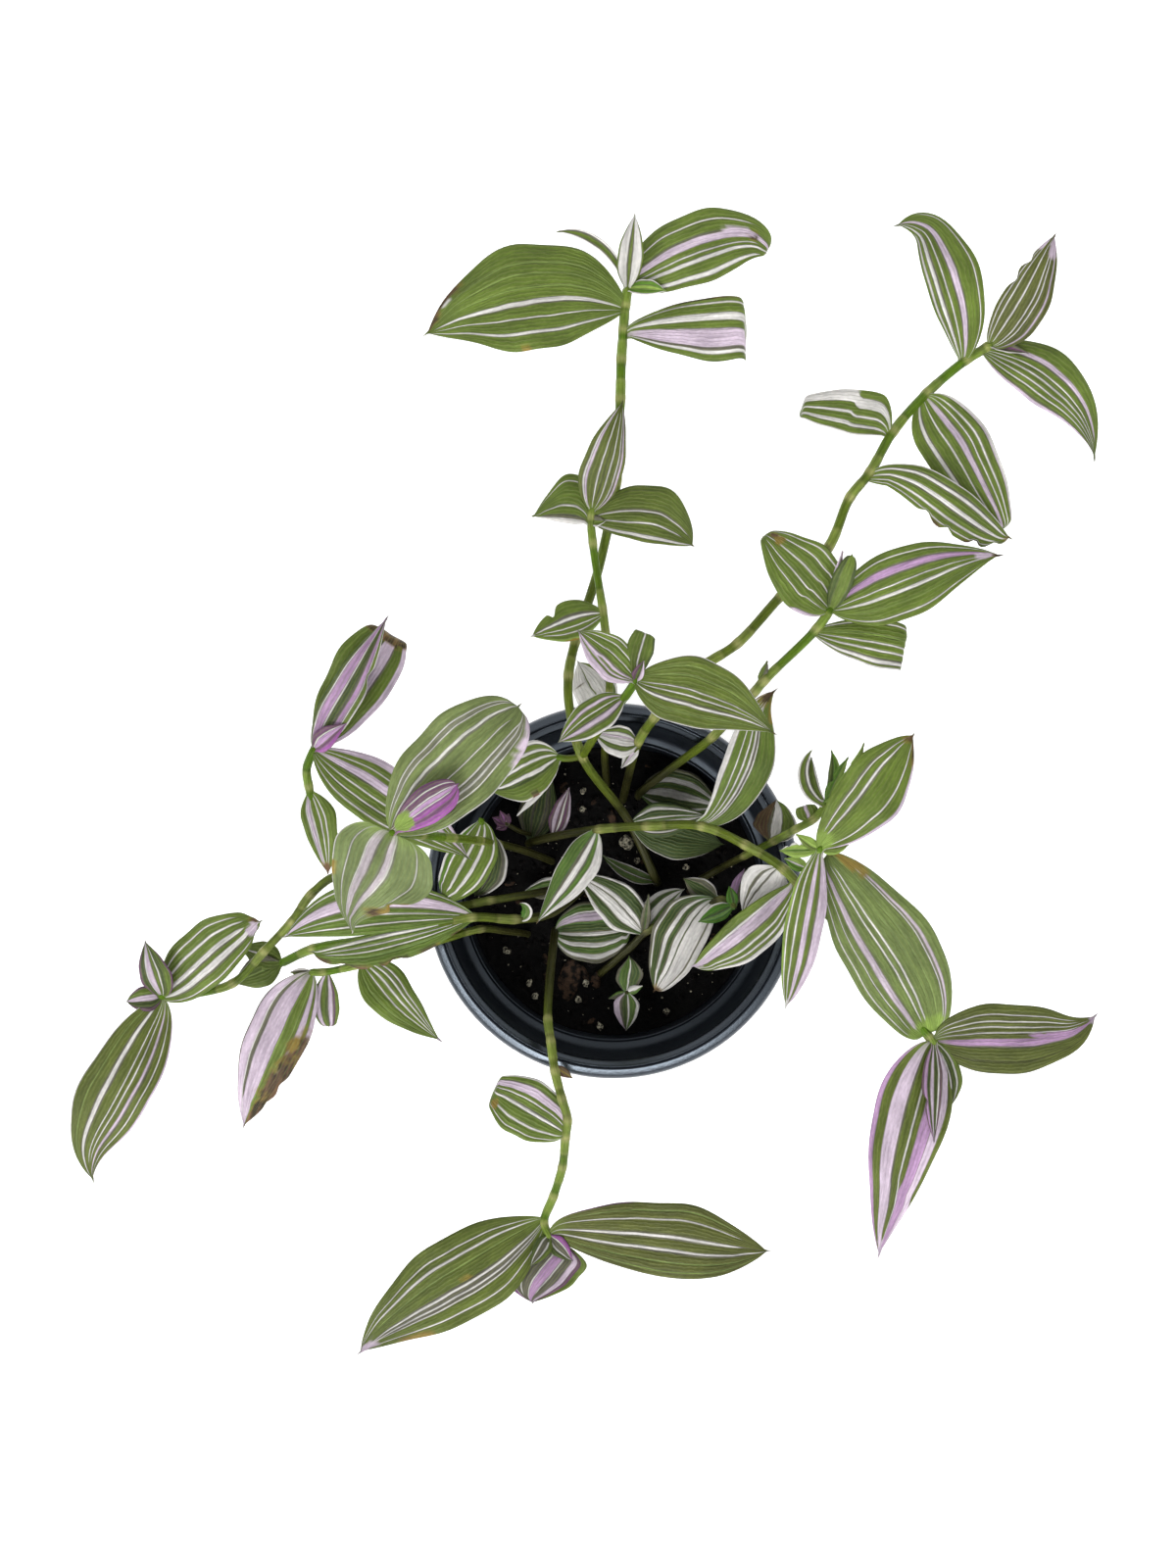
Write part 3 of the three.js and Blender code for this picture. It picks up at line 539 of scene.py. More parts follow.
def vein_group() -> bpy.types.ShaderNodeTree:
    """Parallel veins, streaks and cells: a sine across, noise drawn out along, and small cells.

    Returns:
        A group from Vector (across, along) and Spacing to Vein, Streak, Cells and Height.
    """
    tree = new_group(
        "veins", {"Vector": "Vector", "Spacing": "Float"},
        {"Vein": "Float", "Streak": "Float", "Cells": "Float", "Height": "Float"},
    )
    n = Nodes(tree)
    entry, leave = tree.nodes.new("NodeGroupInput"), tree.nodes.new("NodeGroupOutput")
    split = n.feed(n.add("SeparateXYZ"), {0: entry.outputs["Vector"]})

    def squeezed(share: float) -> bpy.types.NodeSocket:
        """The place with its distance along scaled down."""
        along = n.math("MULTIPLY", split.outputs["Y"], share)
        return n.feed(n.add("CombineXYZ"), {"X": split.outputs["X"], "Y": along}).outputs[0]

    values = {"Vector": entry.outputs["Vector"], "Scale": PATTERN.sway_scale}
    sway = n.math("MULTIPLY", n.feed(n.add("TexNoise", "sway"), values).outputs["Fac"], PATTERN.sway)
    count = n.math("DIVIDE", n.math("ADD", split.outputs["X"], sway), entry.outputs["Spacing"])
    ridge = n.ramp(n.math("SINE", n.math("MULTIPLY", count, 2 * math.pi)), PATTERN.vein_above, 1.0, 0.0, 1.0)
    streak = n.feed(n.add("TexNoise", "streaks"), {
        "Vector": squeezed(PATTERN.streak_squeeze), "Scale": PATTERN.streak_scale,
        "Detail": PATTERN.streak_detail,
    })
    cells = n.feed(n.add("TexVoronoi", "cells"), {
        "Vector": squeezed(PATTERN.cell_squeeze), "Scale": PATTERN.cell_scale,
    })
    crown = n.ramp(cells.outputs["Distance"], 0.0, PATTERN.cell_reach, 1.0, 0.0)
    height = n.math("ADD", n.math("MULTIPLY", crown, PATTERN.cell_height), ridge)
    n.feed(leave, {"Vein": ridge, "Streak": streak.outputs["Fac"], "Cells": crown, "Height": height})
    return tree


@dataclass
class Palette:
    """The shader groups that several finishes share."""

    mottle: bpy.types.ShaderNodeTree = field(default_factory=mottle_group)
    veins: bpy.types.ShaderNodeTree = field(default_factory=vein_group)

    def place(self, nodes: Nodes, tree: bpy.types.ShaderNodeTree, **values: object) -> bpy.types.Node:
        """Puts one of the groups into a material.

        Args:
            nodes: the material's nodes.
            tree: the group.
            values: numbers or sockets for its inputs.

        Returns:
            The group node.
        """
        return nodes.feed(nodes.add("Group", node_tree=tree), values)


def new_material(name: str) -> tuple[bpy.types.Material, Nodes, bpy.types.Node]:
    """An empty material with a Principled BSDF.

    Args:
        name: the material's name.

    Returns:
        The material, its nodes and the Principled BSDF.
    """
    material = bpy.data.materials.new(name)
    material.use_nodes = True
    nodes = Nodes(material.node_tree)
    return material, nodes, material.node_tree.nodes["Principled BSDF"]


@dataclass(frozen=True)
class TissueFinish:
    """Fleshy plant tissue: pigment from the mesh, veins and streaks along it, a satin skin."""

    name: str
    vein_spacing: float = 1.25    # millimetres
    vein_share: float = 0.24      # how far a vein's colour goes over to the vein tint
    vein_tint: Triple = (140, 146, 84)
    streak: float = 0.22          # how much darker and lighter the streaks are
    cells: float = 0.09           # the same for the cells
    roughness: float = 0.5
    specular: float = 0.22
    relief: float = 0.00022       # metres
    tone_scale: float = 110.0
    tone_amount: float = 0.22
    pale: Pair = (0.15, 0.36)     # brightness over which the veins fade
    pale_veins: float = 0.25      # share of the veins that is left on pale pigment
    gloss_swing: Pair = (0.08, -0.06)  # change of the roughness between cells and on them
    bump: float = 0.6

    def material(self, palette: Palette) -> bpy.types.Material:
        """Makes the finish.

        Args:
            palette: the shared groups.

        Returns:
            The material.
        """
        material, n, shader = new_material(self.name)
        pigment = n.add("Attribute", attribute_name="pigment")
        place = n.add("UVMap", uv_map="blade")
        coords = n.add("TexCoord")
        veins = palette.place(n, palette.veins, Vector=place.outputs["UV"], Spacing=self.vein_spacing)
        mottle = palette.place(n, palette.mottle, Vector=coords.outputs["Object"],
                               Scale=self.tone_scale, Amount=self.tone_amount)
        brightness = n.feed(n.add("RGBToBW"), {0: pigment.outputs["Color"]})
        share = n.ramp(brightness.outputs[0], *self.pale, self.vein_share, self.pale_veins * self.vein_share)
        veined = n.mix(n.math("MULTIPLY", veins.outputs["Vein"], share),
                       pigment.outputs["Color"], linear(self.vein_tint) / FULL_LIGHT)
        streaks = n.ramp(veins.outputs["Streak"], *PATTERN.usual, 1 - self.streak, 1 + self.streak)
        cells = n.ramp(veins.outputs["Cells"], 0.0, 1.0, 1 - self.cells, 1 + self.cells)
        tone = n.math("MULTIPLY", n.math("MULTIPLY", streaks, cells), mottle.outputs["Tone"])
        shaded = n.feed(n.add("VectorMath", operation="SCALE"), {0: veined, "Scale": tone})
        between, on = (self.roughness + change for change in self.gloss_swing)
        n.feed(shader, {
            "Base Color": shaded.outputs[0],
            "Roughness": n.ramp(veins.outputs["Cells"], 0.0, 1.0, between, on),
            "Specular IOR Level": self.specular,
            "Normal": n.bump(veins.outputs["Height"], self.bump, self.relief),
        })
        return material


LEAF_SKIN = TissueFinish("leaf_skin")
STEM_SKIN = TissueFinish(
    "stem_skin", vein_spacing=1.1, vein_share=0.05, roughness=0.42, streak=0.3, specular=0.14,
)


@dataclass(frozen=True)
class GrainFinish:
    """A rough natural surface: two colours mixed by noise, with relief of its own."""

    name: str
    dark: Triple
    light: Triple
    scale: float
    contrast: float = 0.5
    roughness: float = 0.9
    relief: float = 0.0006        # metres
    specular: float = 0.15
    tones: Pair = (0.75, 1.25)    # the mottle's tones for all dark and all light
    gloss: float = 0.25           # how much smoother the grains' tops are
    bump: float = 0.9

    def material(self, palette: Palette) -> bpy.types.Material:
        """Makes the finish.

        Args:
            palette: the shared groups.

        Returns:
            The material.
        """
        material, n, shader = new_material(self.name)
        coords = n.add("TexCoord")
        mottle = palette.place(n, palette.mottle, Vector=coords.outputs["Object"],
                               Scale=self.scale, Amount=self.contrast)
        share = n.ramp(mottle.outputs["Tone"], *self.tones, 0.0, 1.0)
        smooth = self.roughness - self.gloss
        n.feed(shader, {
            "Base Color": n.mix(share, linear(self.dark), linear(self.light)),
            "Roughness": n.ramp(mottle.outputs["Height"], *PATTERN.usual, self.roughness, smooth),
            "Specular IOR Level": self.specular,
            "Normal": n.bump(mottle.outputs["Height"], self.bump, self.relief),
        })
        return material


EARTH = GrainFinish("potting_mix", (1, 1, 1), (13, 11, 10), 700.0, contrast=0.7)
PEAT = GrainFinish("peat_crumbs", (2, 2, 2), (20, 16, 13), 600.0, contrast=0.8)
WHITE_GRIT = GrainFinish("perlite", (40, 36, 26), (212, 206, 182), 1100.0, contrast=1.4)
WOOD = GrainFinish("bark", (9, 7, 5), (66, 50, 38), 420.0, contrast=1.6)


@dataclass(frozen=True)
class PlasticFinish:
    """Moulded black plastic: soft gloss, faint turning rings, dust and dried water marks."""

    name: str = "pot_plastic"
    colour: Triple = (10, 13, 19)
    dust: Triple = (40, 44, 48)
    roughness: float = 0.2
    specular: float = 0.85
    glint: Triple = (0.74, 0.86, 1.0)  # tint of the highlights
    satin_below: float = 0.1125   # metres; the rim above it is glossier
    satin_blend: float = 0.002    # metres
    satin: float = 0.26           # how much rougher the plastic is below
    grain: Pair = (220.0, 0.3)    # scale and amount
    marks: Pair = (45.0, 1.0)     # the same for the dried water marks
    mark_tones: Pair = (1.15, 1.6)
    mark_share: float = 0.35      # how far a mark goes over to dust
    mark_grain: Triple = (0.4, 0.7, 0.4)  # grain heights, share on the lower one
    worn_tones: Pair = (0.6, 1.5)
    worn: Pair = (-0.05, 0.12)    # change of the roughness over those tones
    ring_turns: float = 4200.0    # radians in a metre of height
    ring_share: float = 0.12
    bump: float = 0.25
    relief: float = 0.00015       # metres

    def material(self, palette: Palette) -> bpy.types.Material:
        """Makes the finish.

        Args:
            palette: the shared groups.

        Returns:
            The material.
        """
        material, n, shader = new_material(self.name)
        coords = n.add("TexCoord")
        grain, marks = (
            palette.place(n, palette.mottle, Vector=coords.outputs["Object"], Scale=scale, Amount=amount)
            for scale, amount in (self.grain, self.marks)
        )
        dusty = n.math("MULTIPLY", n.ramp(marks.outputs["Tone"], *self.mark_tones, 0.0, self.mark_share),
                       n.ramp(grain.outputs["Height"], *self.mark_grain, 1.0))
        split = n.feed(n.add("SeparateXYZ"), {0: coords.outputs["Object"]})
        smooth, rubbed = (self.roughness + change for change in self.worn)
        rough = n.ramp(marks.outputs["Tone"], *self.worn_tones, smooth, rubbed)
        satin_from = self.satin_below - self.satin_blend
        below = n.ramp(split.outputs["Z"], satin_from, self.satin_below, self.satin, 0.0)
        rings = n.math("SINE", n.math("MULTIPLY", split.outputs["Z"], self.ring_turns))
        relief = n.math("ADD", n.math("MULTIPLY", rings, self.ring_share), grain.outputs["Height"])
        n.feed(shader, {
            "Base Color": n.mix(dusty, linear(self.colour), linear(self.dust)),
            "Roughness": n.math("ADD", rough, below),
            "Specular Tint": (*self.glint, 1.0),
            "Specular IOR Level": self.specular,
            "Normal": n.bump(relief, self.bump, self.relief),
        })
        return material


# ---------------------------------------------------------------- stems


class StemLine:
    """A smooth line through a stem's points.

    Between two points it is the cubic whose end slopes come from the neighbouring points, with
    each span counted as the square root of its length. The last step is repeated at both ends.
    """

    def __init__(self, points: np.ndarray) -> None:
        """Works out each span's share of the line.

        Args:
            points: the stem's points in order, in millimetres.
        """
        first, last = 2 * points[0] - points[1], 2 * points[-1] - points[-2]
        self.count = len(points)
        self.knots = np.vstack([first, points, last])
        self.spans = np.sqrt(np.linalg.norm(np.diff(self.knots, axis=0), axis=1))[:, None]

    def at(self, place: np.ndarray) -> np.ndarray:
        """Points on the line.

        Args:
            place: 0 at the first point, 1 at the second and so on.

        Returns:
            One point for each place.
        """
        index = np.clip(np.floor(place).astype(int), 0, self.count - 2)
        part = (place - index)[:, None]
        p0, p1, p2, p3 = (self.knots[index + k] for k in range(4))
        d0, d1, d2 = (self.spans[index + k] for k in range(3))
        start = ((p1 - p0) / d0 - (p2 - p0) / (d0 + d1) + (p2 - p1) / d1) * d1
        end = ((p2 - p1) / d1 - (p3 - p1) / (d1 + d2) + (p3 - p2) / d2) * d1
        square, cube = 3 * (p2 - p1) - 2 * start - end, 2 * (p1 - p2) + start + end
        return p1 + part * (start + part * (square + part * cube))

    def direction(self, place: np.ndarray) -> np.ndarray:
        """Unit vectors along the line, from points a little before and after.

        Args:
            place: 0 at the first point, 1 at the second and so on.

        Returns:
            One vector for each place.
        """
        little = 0.01
        after, before = np.minimum(place + little, self.count - 1), np.maximum(place - little, 0)
        step = self.at(after) - self.at(before)
        return step / np.linalg.norm(step, axis=1)[:, None]

    def even(self, step: float) -> tuple[np.ndarray, np.ndarray]:
        """Places an even distance apart.

        Args:
            step: the distance, in millimetres.

        Returns:
            The places, and how far along the line each is, in millimetres.
        """
        samples_each, fewest = 60, 8
        fine = np.linspace(0, self.count - 1, samples_each * self.count)
        run = np.concatenate([[0], np.cumsum(np.linalg.norm(np.diff(self.at(fine), axis=0), axis=1))])
        wanted = np.linspace(0, run[-1], max(fewest, int(run[-1] / step)))
        return np.interp(wanted, run, fine), wanted


@dataclass(frozen=True)
class StemLook:
    """Sizes and colours of the jointed stems, in millimetres and screen colours."""

    step: float = 1.0
    around: int = 18
    bare: float = 0.84            # share of the stem's radius between its sheaths
    sheath_length: float = 6.0
    sheath_ends: Pair = (0.7, 0.6)  # length over which it starts and ends
    sheath_swell: float = 0.07
    lip: float = 0.5
    lip_swell: float = 0.05
    joint_swell: float = 0.13
    joint_reach: float = 1.2
    uneven: Pair = (0.03, 9.0)    # share of the girth, size
    ridges: int = 6
    ridge: float = 0.02           # share of the girth
    tip: float = 0.02             # share of the girth that the ends keep
    upright: float = 1e-6         # least sideways run, so that an upright stem divides by no zero
    creases: tuple[Pair, ...] = ((-1.9, 0.5), (6.9, 0.4))  # past a joint, width
    crease_shade: float = 0.24
    old: Triple = (58, 58, 26)
    grown: Triple = (94, 110, 26)
    young: Triple = (88, 124, 12)
    sheath: Triple = (148, 164, 80)
    scar: Triple = (184, 180, 118)
    young_from: float = 0.5       # of the length
    mottle: tuple[float, float, int] = (0.16, 6.0, 3)  # share, size, seed
    sheath_share: Pair = (0.42, 0.45)  # of the colour, less this share where old
    scar_share: Triple = (0.6, 0.3, 0.5)  # at joints, at lips, less where old
    mouth: Pair = (42.0, 60.0)    # inside this the stems look old
    low: Pair = (104.0, 126.0)    # and below this

    def tube(self, line: StemLine, radius: float, joints: np.ndarray, name: str, aged: float) -> Surface:
        """A jointed stem: a circle carried along the line, swollen at each joint and sheath.

        The radius is the stem's own, times 1 plus a bell at each joint, plus a collar that runs
        from each joint for the sheath's length. It closes to a point at both ends.

        Args:
            line: the stem's line.
            radius: its radius.
            joints: places of the joints on the line.
            name: seeds its unevenness.
            aged: how old its foot looks, from 0 to 1.

        Returns:
            The closed tube with colours and pattern places.
        """
        places, run = line.even(self.step)
        centres, along = line.at(places), line.direction(places)
        far_off = -99.0
        joint_run = np.interp(joints, places, run) if len(joints) else np.array([far_off])
        past = run[:, None] - joint_run[None]
        at_joint = bell(past, self.joint_reach).max(1)
        start, end = self.sheath_ends
        closing = smoothstep(past, self.sheath_length, self.sheath_length - end)
        in_sheath = (smoothstep(past, 0.0, start) * closing).max(1)
        at_lip = bell(past - self.sheath_length, self.lip).max(1)
        swell = self.joint_swell * at_joint + self.sheath_swell * in_sheath + self.lip_swell * at_lip
        girth = self.bare * radius * (1 + swell)
        share, size = self.uneven
        girth *= 1 + share * lattice_noise(centres, size, len(name))
        close = np.sqrt(np.clip(np.minimum(run, run[-1] - run) / radius, 0, 1))
        girth *= np.clip(close, self.tip, 1)
        east, north, _ = line.at(np.array([line.count - 1.0]))[0] - line.at(np.array([1.0]))[0]
        level = np.array([-north, east, 0.0]) / max(np.hypot(east, north), self.upright)
        side = level - along * (along @ level)[:, None]
        side /= np.linalg.norm(side, axis=1)[:, None]
        up = np.cross(along, side)
        angle = turns(self.around)
        ridged = 1 + self.ridge * np.cos(self.ridges * angle)
        ring = np.cos(angle)[None, :, None] * side[:, None] + np.sin(angle)[None, :, None] * up[:, None]
        rings = centres[:, None] + ring * (girth[:, None] * ridged[None])[..., None]
        stem = spindle(rings, centres[[0, -1]])
        crease = sum(bell(past - place, width).max(1) for place, width in self.creases)
        colours = self.colours(run, at_joint, in_sheath, at_lip, centres, aged)
        colours = colours * (1 - self.crease_shade * np.clip(crease, 0, 1))[:, None]
        shaded = np.repeat(colours[:, None], self.around, 1).reshape(-1, 3)
        pattern = np.stack(np.broadcast_arrays(angle[None] * radius, run[:, None]), -1).reshape(-1, 2)
        stem.colours = np.vstack([shaded, colours[[0, -1]]])
        stem.pattern = np.vstack([pattern, [[0, 0], [0, run[-1]]]])
        return stem

    def colours(self, run: np.ndarray, at_joint: np.ndarray, in_sheath: np.ndarray, at_lip: np.ndarray,
                centres: np.ndarray, aged: float) -> np.ndarray:
        """Colour along a stem: old low in the pot, green beyond, pale where a sheath wraps it.

        Args:
            run: distance along.
            at_joint: 1 at a joint.
            in_sheath: 1 inside a sheath.
            at_lip: 1 at a sheath's rim.
            centres: the stem's points.
            aged: how old its foot looks, from 0 to 1.

        Returns:
            Linear colours, one row for each ring.
        """
        out = np.hypot(centres[:, 0], centres[:, 1])
        inside = (1 - smoothstep(out, *self.mouth)) * (1 - smoothstep(centres[:, 2], *self.low))
        age = aged * inside[:, None]
        tipward = smoothstep(run / run[-1], self.young_from, 1.0)[:, None]
        base = blended(blended(linear(self.grown), linear(self.young), tipward), linear(self.old), age)
        base = base * (1 + layered_noise(centres, (self.mottle,)))[:, None]
        share, less = self.sheath_share
        wrap = share * in_sheath[:, None] * (1 - less * age)
        base = blended(base, linear(self.sheath), wrap)
        joint_share, lip_share, less = self.scar_share
        mark = np.clip(joint_share * at_joint + lip_share * at_lip, 0, 1)[:, None] * (1 - less * age)
        return blended(base, linear(self.scar), mark) / FULL_LIGHT


# ---------------------------------------------------------------- leaves


@dataclass(frozen=True)
class BladeLook:
    """How every blade is formed and coloured, in millimetres unless it says otherwise.

    Noise is given by its share, size and seed. Shares of a colour are from 0 to 1.
    """

    line_steps: int = 200
    fall_power: float = 1.4       # over 1 a leaf bends mostly towards its tip
    steepest: float = -89.0       # degrees
    bend_reach: float = 0.035     # of the length, before and after a bend's middle
    hook_start: float = 0.68      # of the length

    rows: int = 51
    samples: int = 400            # fine places that the rows are picked from
    foot_crowd: Pair = (1.5, 0.04)  # how much closer the rows are, over what reach
    tip_crowd: Pair = (2.5, 0.05)
    bend_crowd: Pair = (4.0, 1.5)  # its reach is a multiple of the bend's

    half: Triple = (0.38, 0.75, 0.85)  # widest, fullness, point
    root_sink: float = 1.5
    root_width: float = 3.0
    root_reach: float = 0.3       # of the length
    tip_width: float = 0.7
    spur: float = 0.035           # of the length, the fine point past the blade's end
    spur_end: float = 0.1         # share of the tip's width that the very end keeps
    narrow: float = 0.7           # most that the root or the spur takes of a half's width
    nick_rim: float = 0.1         # share of a half that holds all that a nick has pushed in
    rim: tuple[Pair, Pair] = ((7.0, 0.03), (19.0, 0.02))  # waves of the width: how quick, its share
    rim_phase: float = 6.0        # radians, how far on the first of them may start
    thickness: float = 0.42
    edge_powers: tuple[int, int] = (8, 12)  # how squarely the thickness ends, across and along

    clasp: float = 26.0           # degrees more fold where the blade clasps the stem
    clasp_reach: float = 0.06     # of the length
    keel: float = 0.02            # rounds the fold along the middle
    arch: float = 0.10            # how far the halves curve down towards their edges
    ruffle: float = 0.07          # share of a half
    ruffles: Pair = (1.6, 2.8)    # fewest and most waves along an edge
    body_power: float = 0.5       # how fast the arch and the buckling set in at both ends
    buckles: Layers = ((0.385, 10.0, 1), (0.165, 4.5, 2))
    quilt: float = 0.24           # how far a band stands up between its seams
    quilt_width: float = 2.5      # width of a band that stands up fully
    quilt_sides: float = 0.35     # share of the height just inside its seams

    thin: float = 0.09            # share of the width below which a pale stripe ends by itself
    thin_ends: Pair = (0.84, 1.1)  # where it does
    never: float = 2.0            # an end past the tip
    band_tones: Pair = (0.94, 1.06)
    band_waves: tuple[Triple, ...] = ((0.6, 1.9, 0.055), (4.0, 8.0, 0.012))
    taper: float = 0.07           # of the length over which a stripe that ends runs out
    remnant: float = 0.02         # share of its width that it keeps
    fading: float = 0.3           # share of its width below which it takes the next band's colour
    margin: float = 0.26          # how far a stripe's shaded edge reaches
    margin_most: float = 0.3      # share of the stripe
    seam_shade: Pair = (1.8, 0.8)  # shade by contrast, and the most

    mark_ragged: float = 0.3      # how far noise moves a mark's edge
    mark_uneven: float = 0.08
    mark_edge: Pair = (1.05, 0.8)
    burnt_rim: Triple = (1.3, 1.0, 0.6)  # from, to, share of ochre
    burnt_uneven: Pair = (1.3, 0.4)  # by streaks, by noise
    burnt_range: Pair = (0.25, 2.6)
    ragged: Layers = ((1.0, 1.6, 5), (0.5, 0.7, 6))
    apart: float = 900.0          # how far apart the leaves read the noise
    drawn_out: float = 0.1        # shrinks places along, so that spots become streaks
    streaks: tuple[float, int] = (0.8, 9)  # size, seed
    streak: float = 0.12
    stripes: Layers = ((0.16, 3.0, 11),)
    clouds: Layers = ((0.12, 15.0, 12),)
    tones: Pair = (0.97, 1.03)
    lime: Pair = (0.45, 0.12)     # share where it clasps the stem, reach
    pot_shade_tint: Triple = (-0.28, -0.08, 0.3)  # painted shade: change of the greens of leaves low in the pot, darker and bluer
    mouth: Pair = (56.0, 40.0)    # leaves that start inside this are in the pot and get its painted shade
    low: Pair = (128.0, 112.0)    # and below this
    green_over_blue: Pair = (0.03, 0.07)  # of a light, so that it counts as a green
    blue_under: Pair = (0.12, 0.06)  # the same
    underside: Pair = (0.62, 0.16)  # share of the upper colours, and of purple


LOOK = BladeLook()


@dataclass(frozen=True)
class Leaf:
    """One leaf: where it grows, the pixel of its tip or bend, its form and its stripes.

    Left and right are as seen from the stem to the tip. Each half is its width in millimetres,
    then its widest place, its fullness before it and its point after it, where they aren't the
    usual ones. The bands run from the left edge to the right: a pigment's letter, the band's
    share of the width and, where it doesn't run the whole length, >start and <end. The marks are
    patches: a letter, the place along, the place across from 1 at the left edge to -1 at the
    right, and the reach both ways. The nicks are bites out of an edge: L or R, the place along,
    the depth as a share of the half and the reach along.
    """

    on: str
    tip: Pair
    left: tuple[float, ...]
    right: tuple[float, ...]
    rise: float
    fall: float
    fold: float
    bands: str
    turn: float = 0.0
    hook: float = 0.0
    bend: Pair | None = None      # place along, degrees
    marks: str = ""
    nicks: str = ""
    # scales the leaf's colours; values under 1 are mostly painted shade, on leaves low in the pot and behind
    # others
    tone: float = 1.0
    olive: float = 0.2            # how far its greens go over to olive
    haze: float = 0.0             # how far all its bands go over to one pale green

    @property
    def width(self) -> float:
        """The blade's full width in millimetres."""
        return self.left[0] + self.right[0]

    def unit_line(self) -> tuple[np.ndarray, np.ndarray, np.ndarray]:
        """The centre line for a length of 1 that leaves along +X.

        Its pitch is rise, less fall times the place along to a power, less the bend; its heading
        is turn times the place along, plus the hook towards the tip. The line is the running sum
        of the steps.

        Returns:
            Points, headings and pitches, angles in radians.
        """
        count = LOOK.line_steps
        along = np.concatenate([[0], (np.arange(count) + 0.5) / count])
        pitch = self.rise - self.fall * along**LOOK.fall_power
        if self.bend:
            middle, drop = self.bend
            pitch = pitch - drop * smoothstep(along, middle - LOOK.bend_reach, middle + LOOK.bend_reach)
        pitch = np.radians(np.maximum(pitch, LOOK.steepest))
        heading = np.radians(self.turn * along + self.hook * smoothstep(along, LOOK.hook_start, 1.0))
        steps = np.stack([np.cos(pitch) * np.cos(heading), np.cos(pitch) * np.sin(heading), np.sin(pitch)], 1)
        return np.vstack([np.zeros(3), np.cumsum(steps[1:] / count, axis=0)]), heading, pitch

    def aim(self, base: np.ndarray, offset: np.ndarray) -> Pair:
        """The length and heading that bring an offset of the unit line onto the leaf's pixel.

        The base plus the length times the turned offset meets the pixel's sight line, which is a
        quadratic in the length.

        Args:
            base: where the leaf starts.
            offset: the point of the unit line that shows at the pixel.

        Returns:
            The length in millimetres and the heading in radians.
        """
        slope = EYE.sight(self.tip)
        gap = slope * (EYE.height - base[2]) - base[:2]
        flat = math.hypot(offset[0], offset[1])
        a = flat**2 - offset[2] ** 2 * (slope @ slope)
        b = 2 * offset[2] * (gap @ slope)
        length = (-b + math.sqrt(b * b + 4 * a * (gap @ gap))) / (2 * a)
        towards = gap - slope * (length * offset[2])
        return length, math.atan2(towards[1], towards[0]) - math.atan2(offset[1], offset[0])

    def stations(self) -> np.ndarray:
        """Places along for the rows: closer at both ends and round a bend.

        The rows are even steps of a running sum, which grows faster where they are to be closer.

        Returns:
            Shares of the length, from 0 to 1.
        """
        fine = np.linspace(0, 1, LOOK.samples)
        (foot, foot_reach), (tip, tip_reach) = LOOK.foot_crowd, LOOK.tip_crowd
        dense = 1 + foot * np.exp(-fine / foot_reach) + tip * np.exp(-(1 - fine) / tip_reach)
        if self.bend:
            closer, times = LOOK.bend_crowd
            dense = dense + closer * bell(fine - self.bend[0], times * LOOK.bend_reach)
        run = np.concatenate([[0], np.cumsum((dense[1:] + dense[:-1]) / 2)])
        return np.interp(np.linspace(0, run[-1], LOOK.rows), run, fine)

    def half_width(self, along: np.ndarray, side: str) -> np.ndarray:
        """One half's width: up as a sine to the widest place, down as a cosine to the spur.

        It is width times sin(90 s / widest) ** fullness before the widest place, and width times
        cos(90 (s - widest) / (1 - spur - widest)) ** point after it, never under the root's or the
        spur's.

        Args:
            along: places from 0 to 1.
            side: L or R.

        Returns:
            Millimetres.
        """
        half = self.left if side == "L" else self.right
        width, widest, fullness, point = (*half, *LOOK.half[len(half) - 1:])
        before = np.sin(math.pi / 2 * np.clip(along / widest, 0, 1))
        after = np.cos(math.pi / 2 * np.clip((along - widest) / (1 - LOOK.spur - widest), 0, 1))
        full = width * before**fullness * np.clip(after, 0, 1) ** point
        root = LOOK.root_width / 2 * smoothstep(along, LOOK.root_reach, 0.0)
        spur = LOOK.tip_width / 2 * np.clip((1 - along) / LOOK.spur, LOOK.spur_end, 1)
        return np.maximum(full, np.minimum(np.maximum(root, spur), LOOK.narrow * width))

    def bitten(self, across: np.ndarray, along: np.ndarray) -> np.ndarray:
        """Pulls the edge in at each nick and leaves the stripes inside it where they are.

        A nick's depth times its bell sets how far out the blade still reaches. All that lies past
        there, and a rim before it, is pressed into that rim.

        Args:
            across: places across, from -1 at the right edge to 1 at the left.
            along: places along, in the same shape.

        Returns:
            The changed places across.
        """
        for edge, (place, depth, reach) in spots(self.nicks):
            sign = 1 if edge == "L" else -1
            knee = 1 - LOOK.nick_rim - depth * bell(along - place, reach)
            far = across * sign
            pressed = knee + (far - knee) * LOOK.nick_rim / (1 - knee)
            across = np.where(far > knee, sign * pressed, across)
        return across

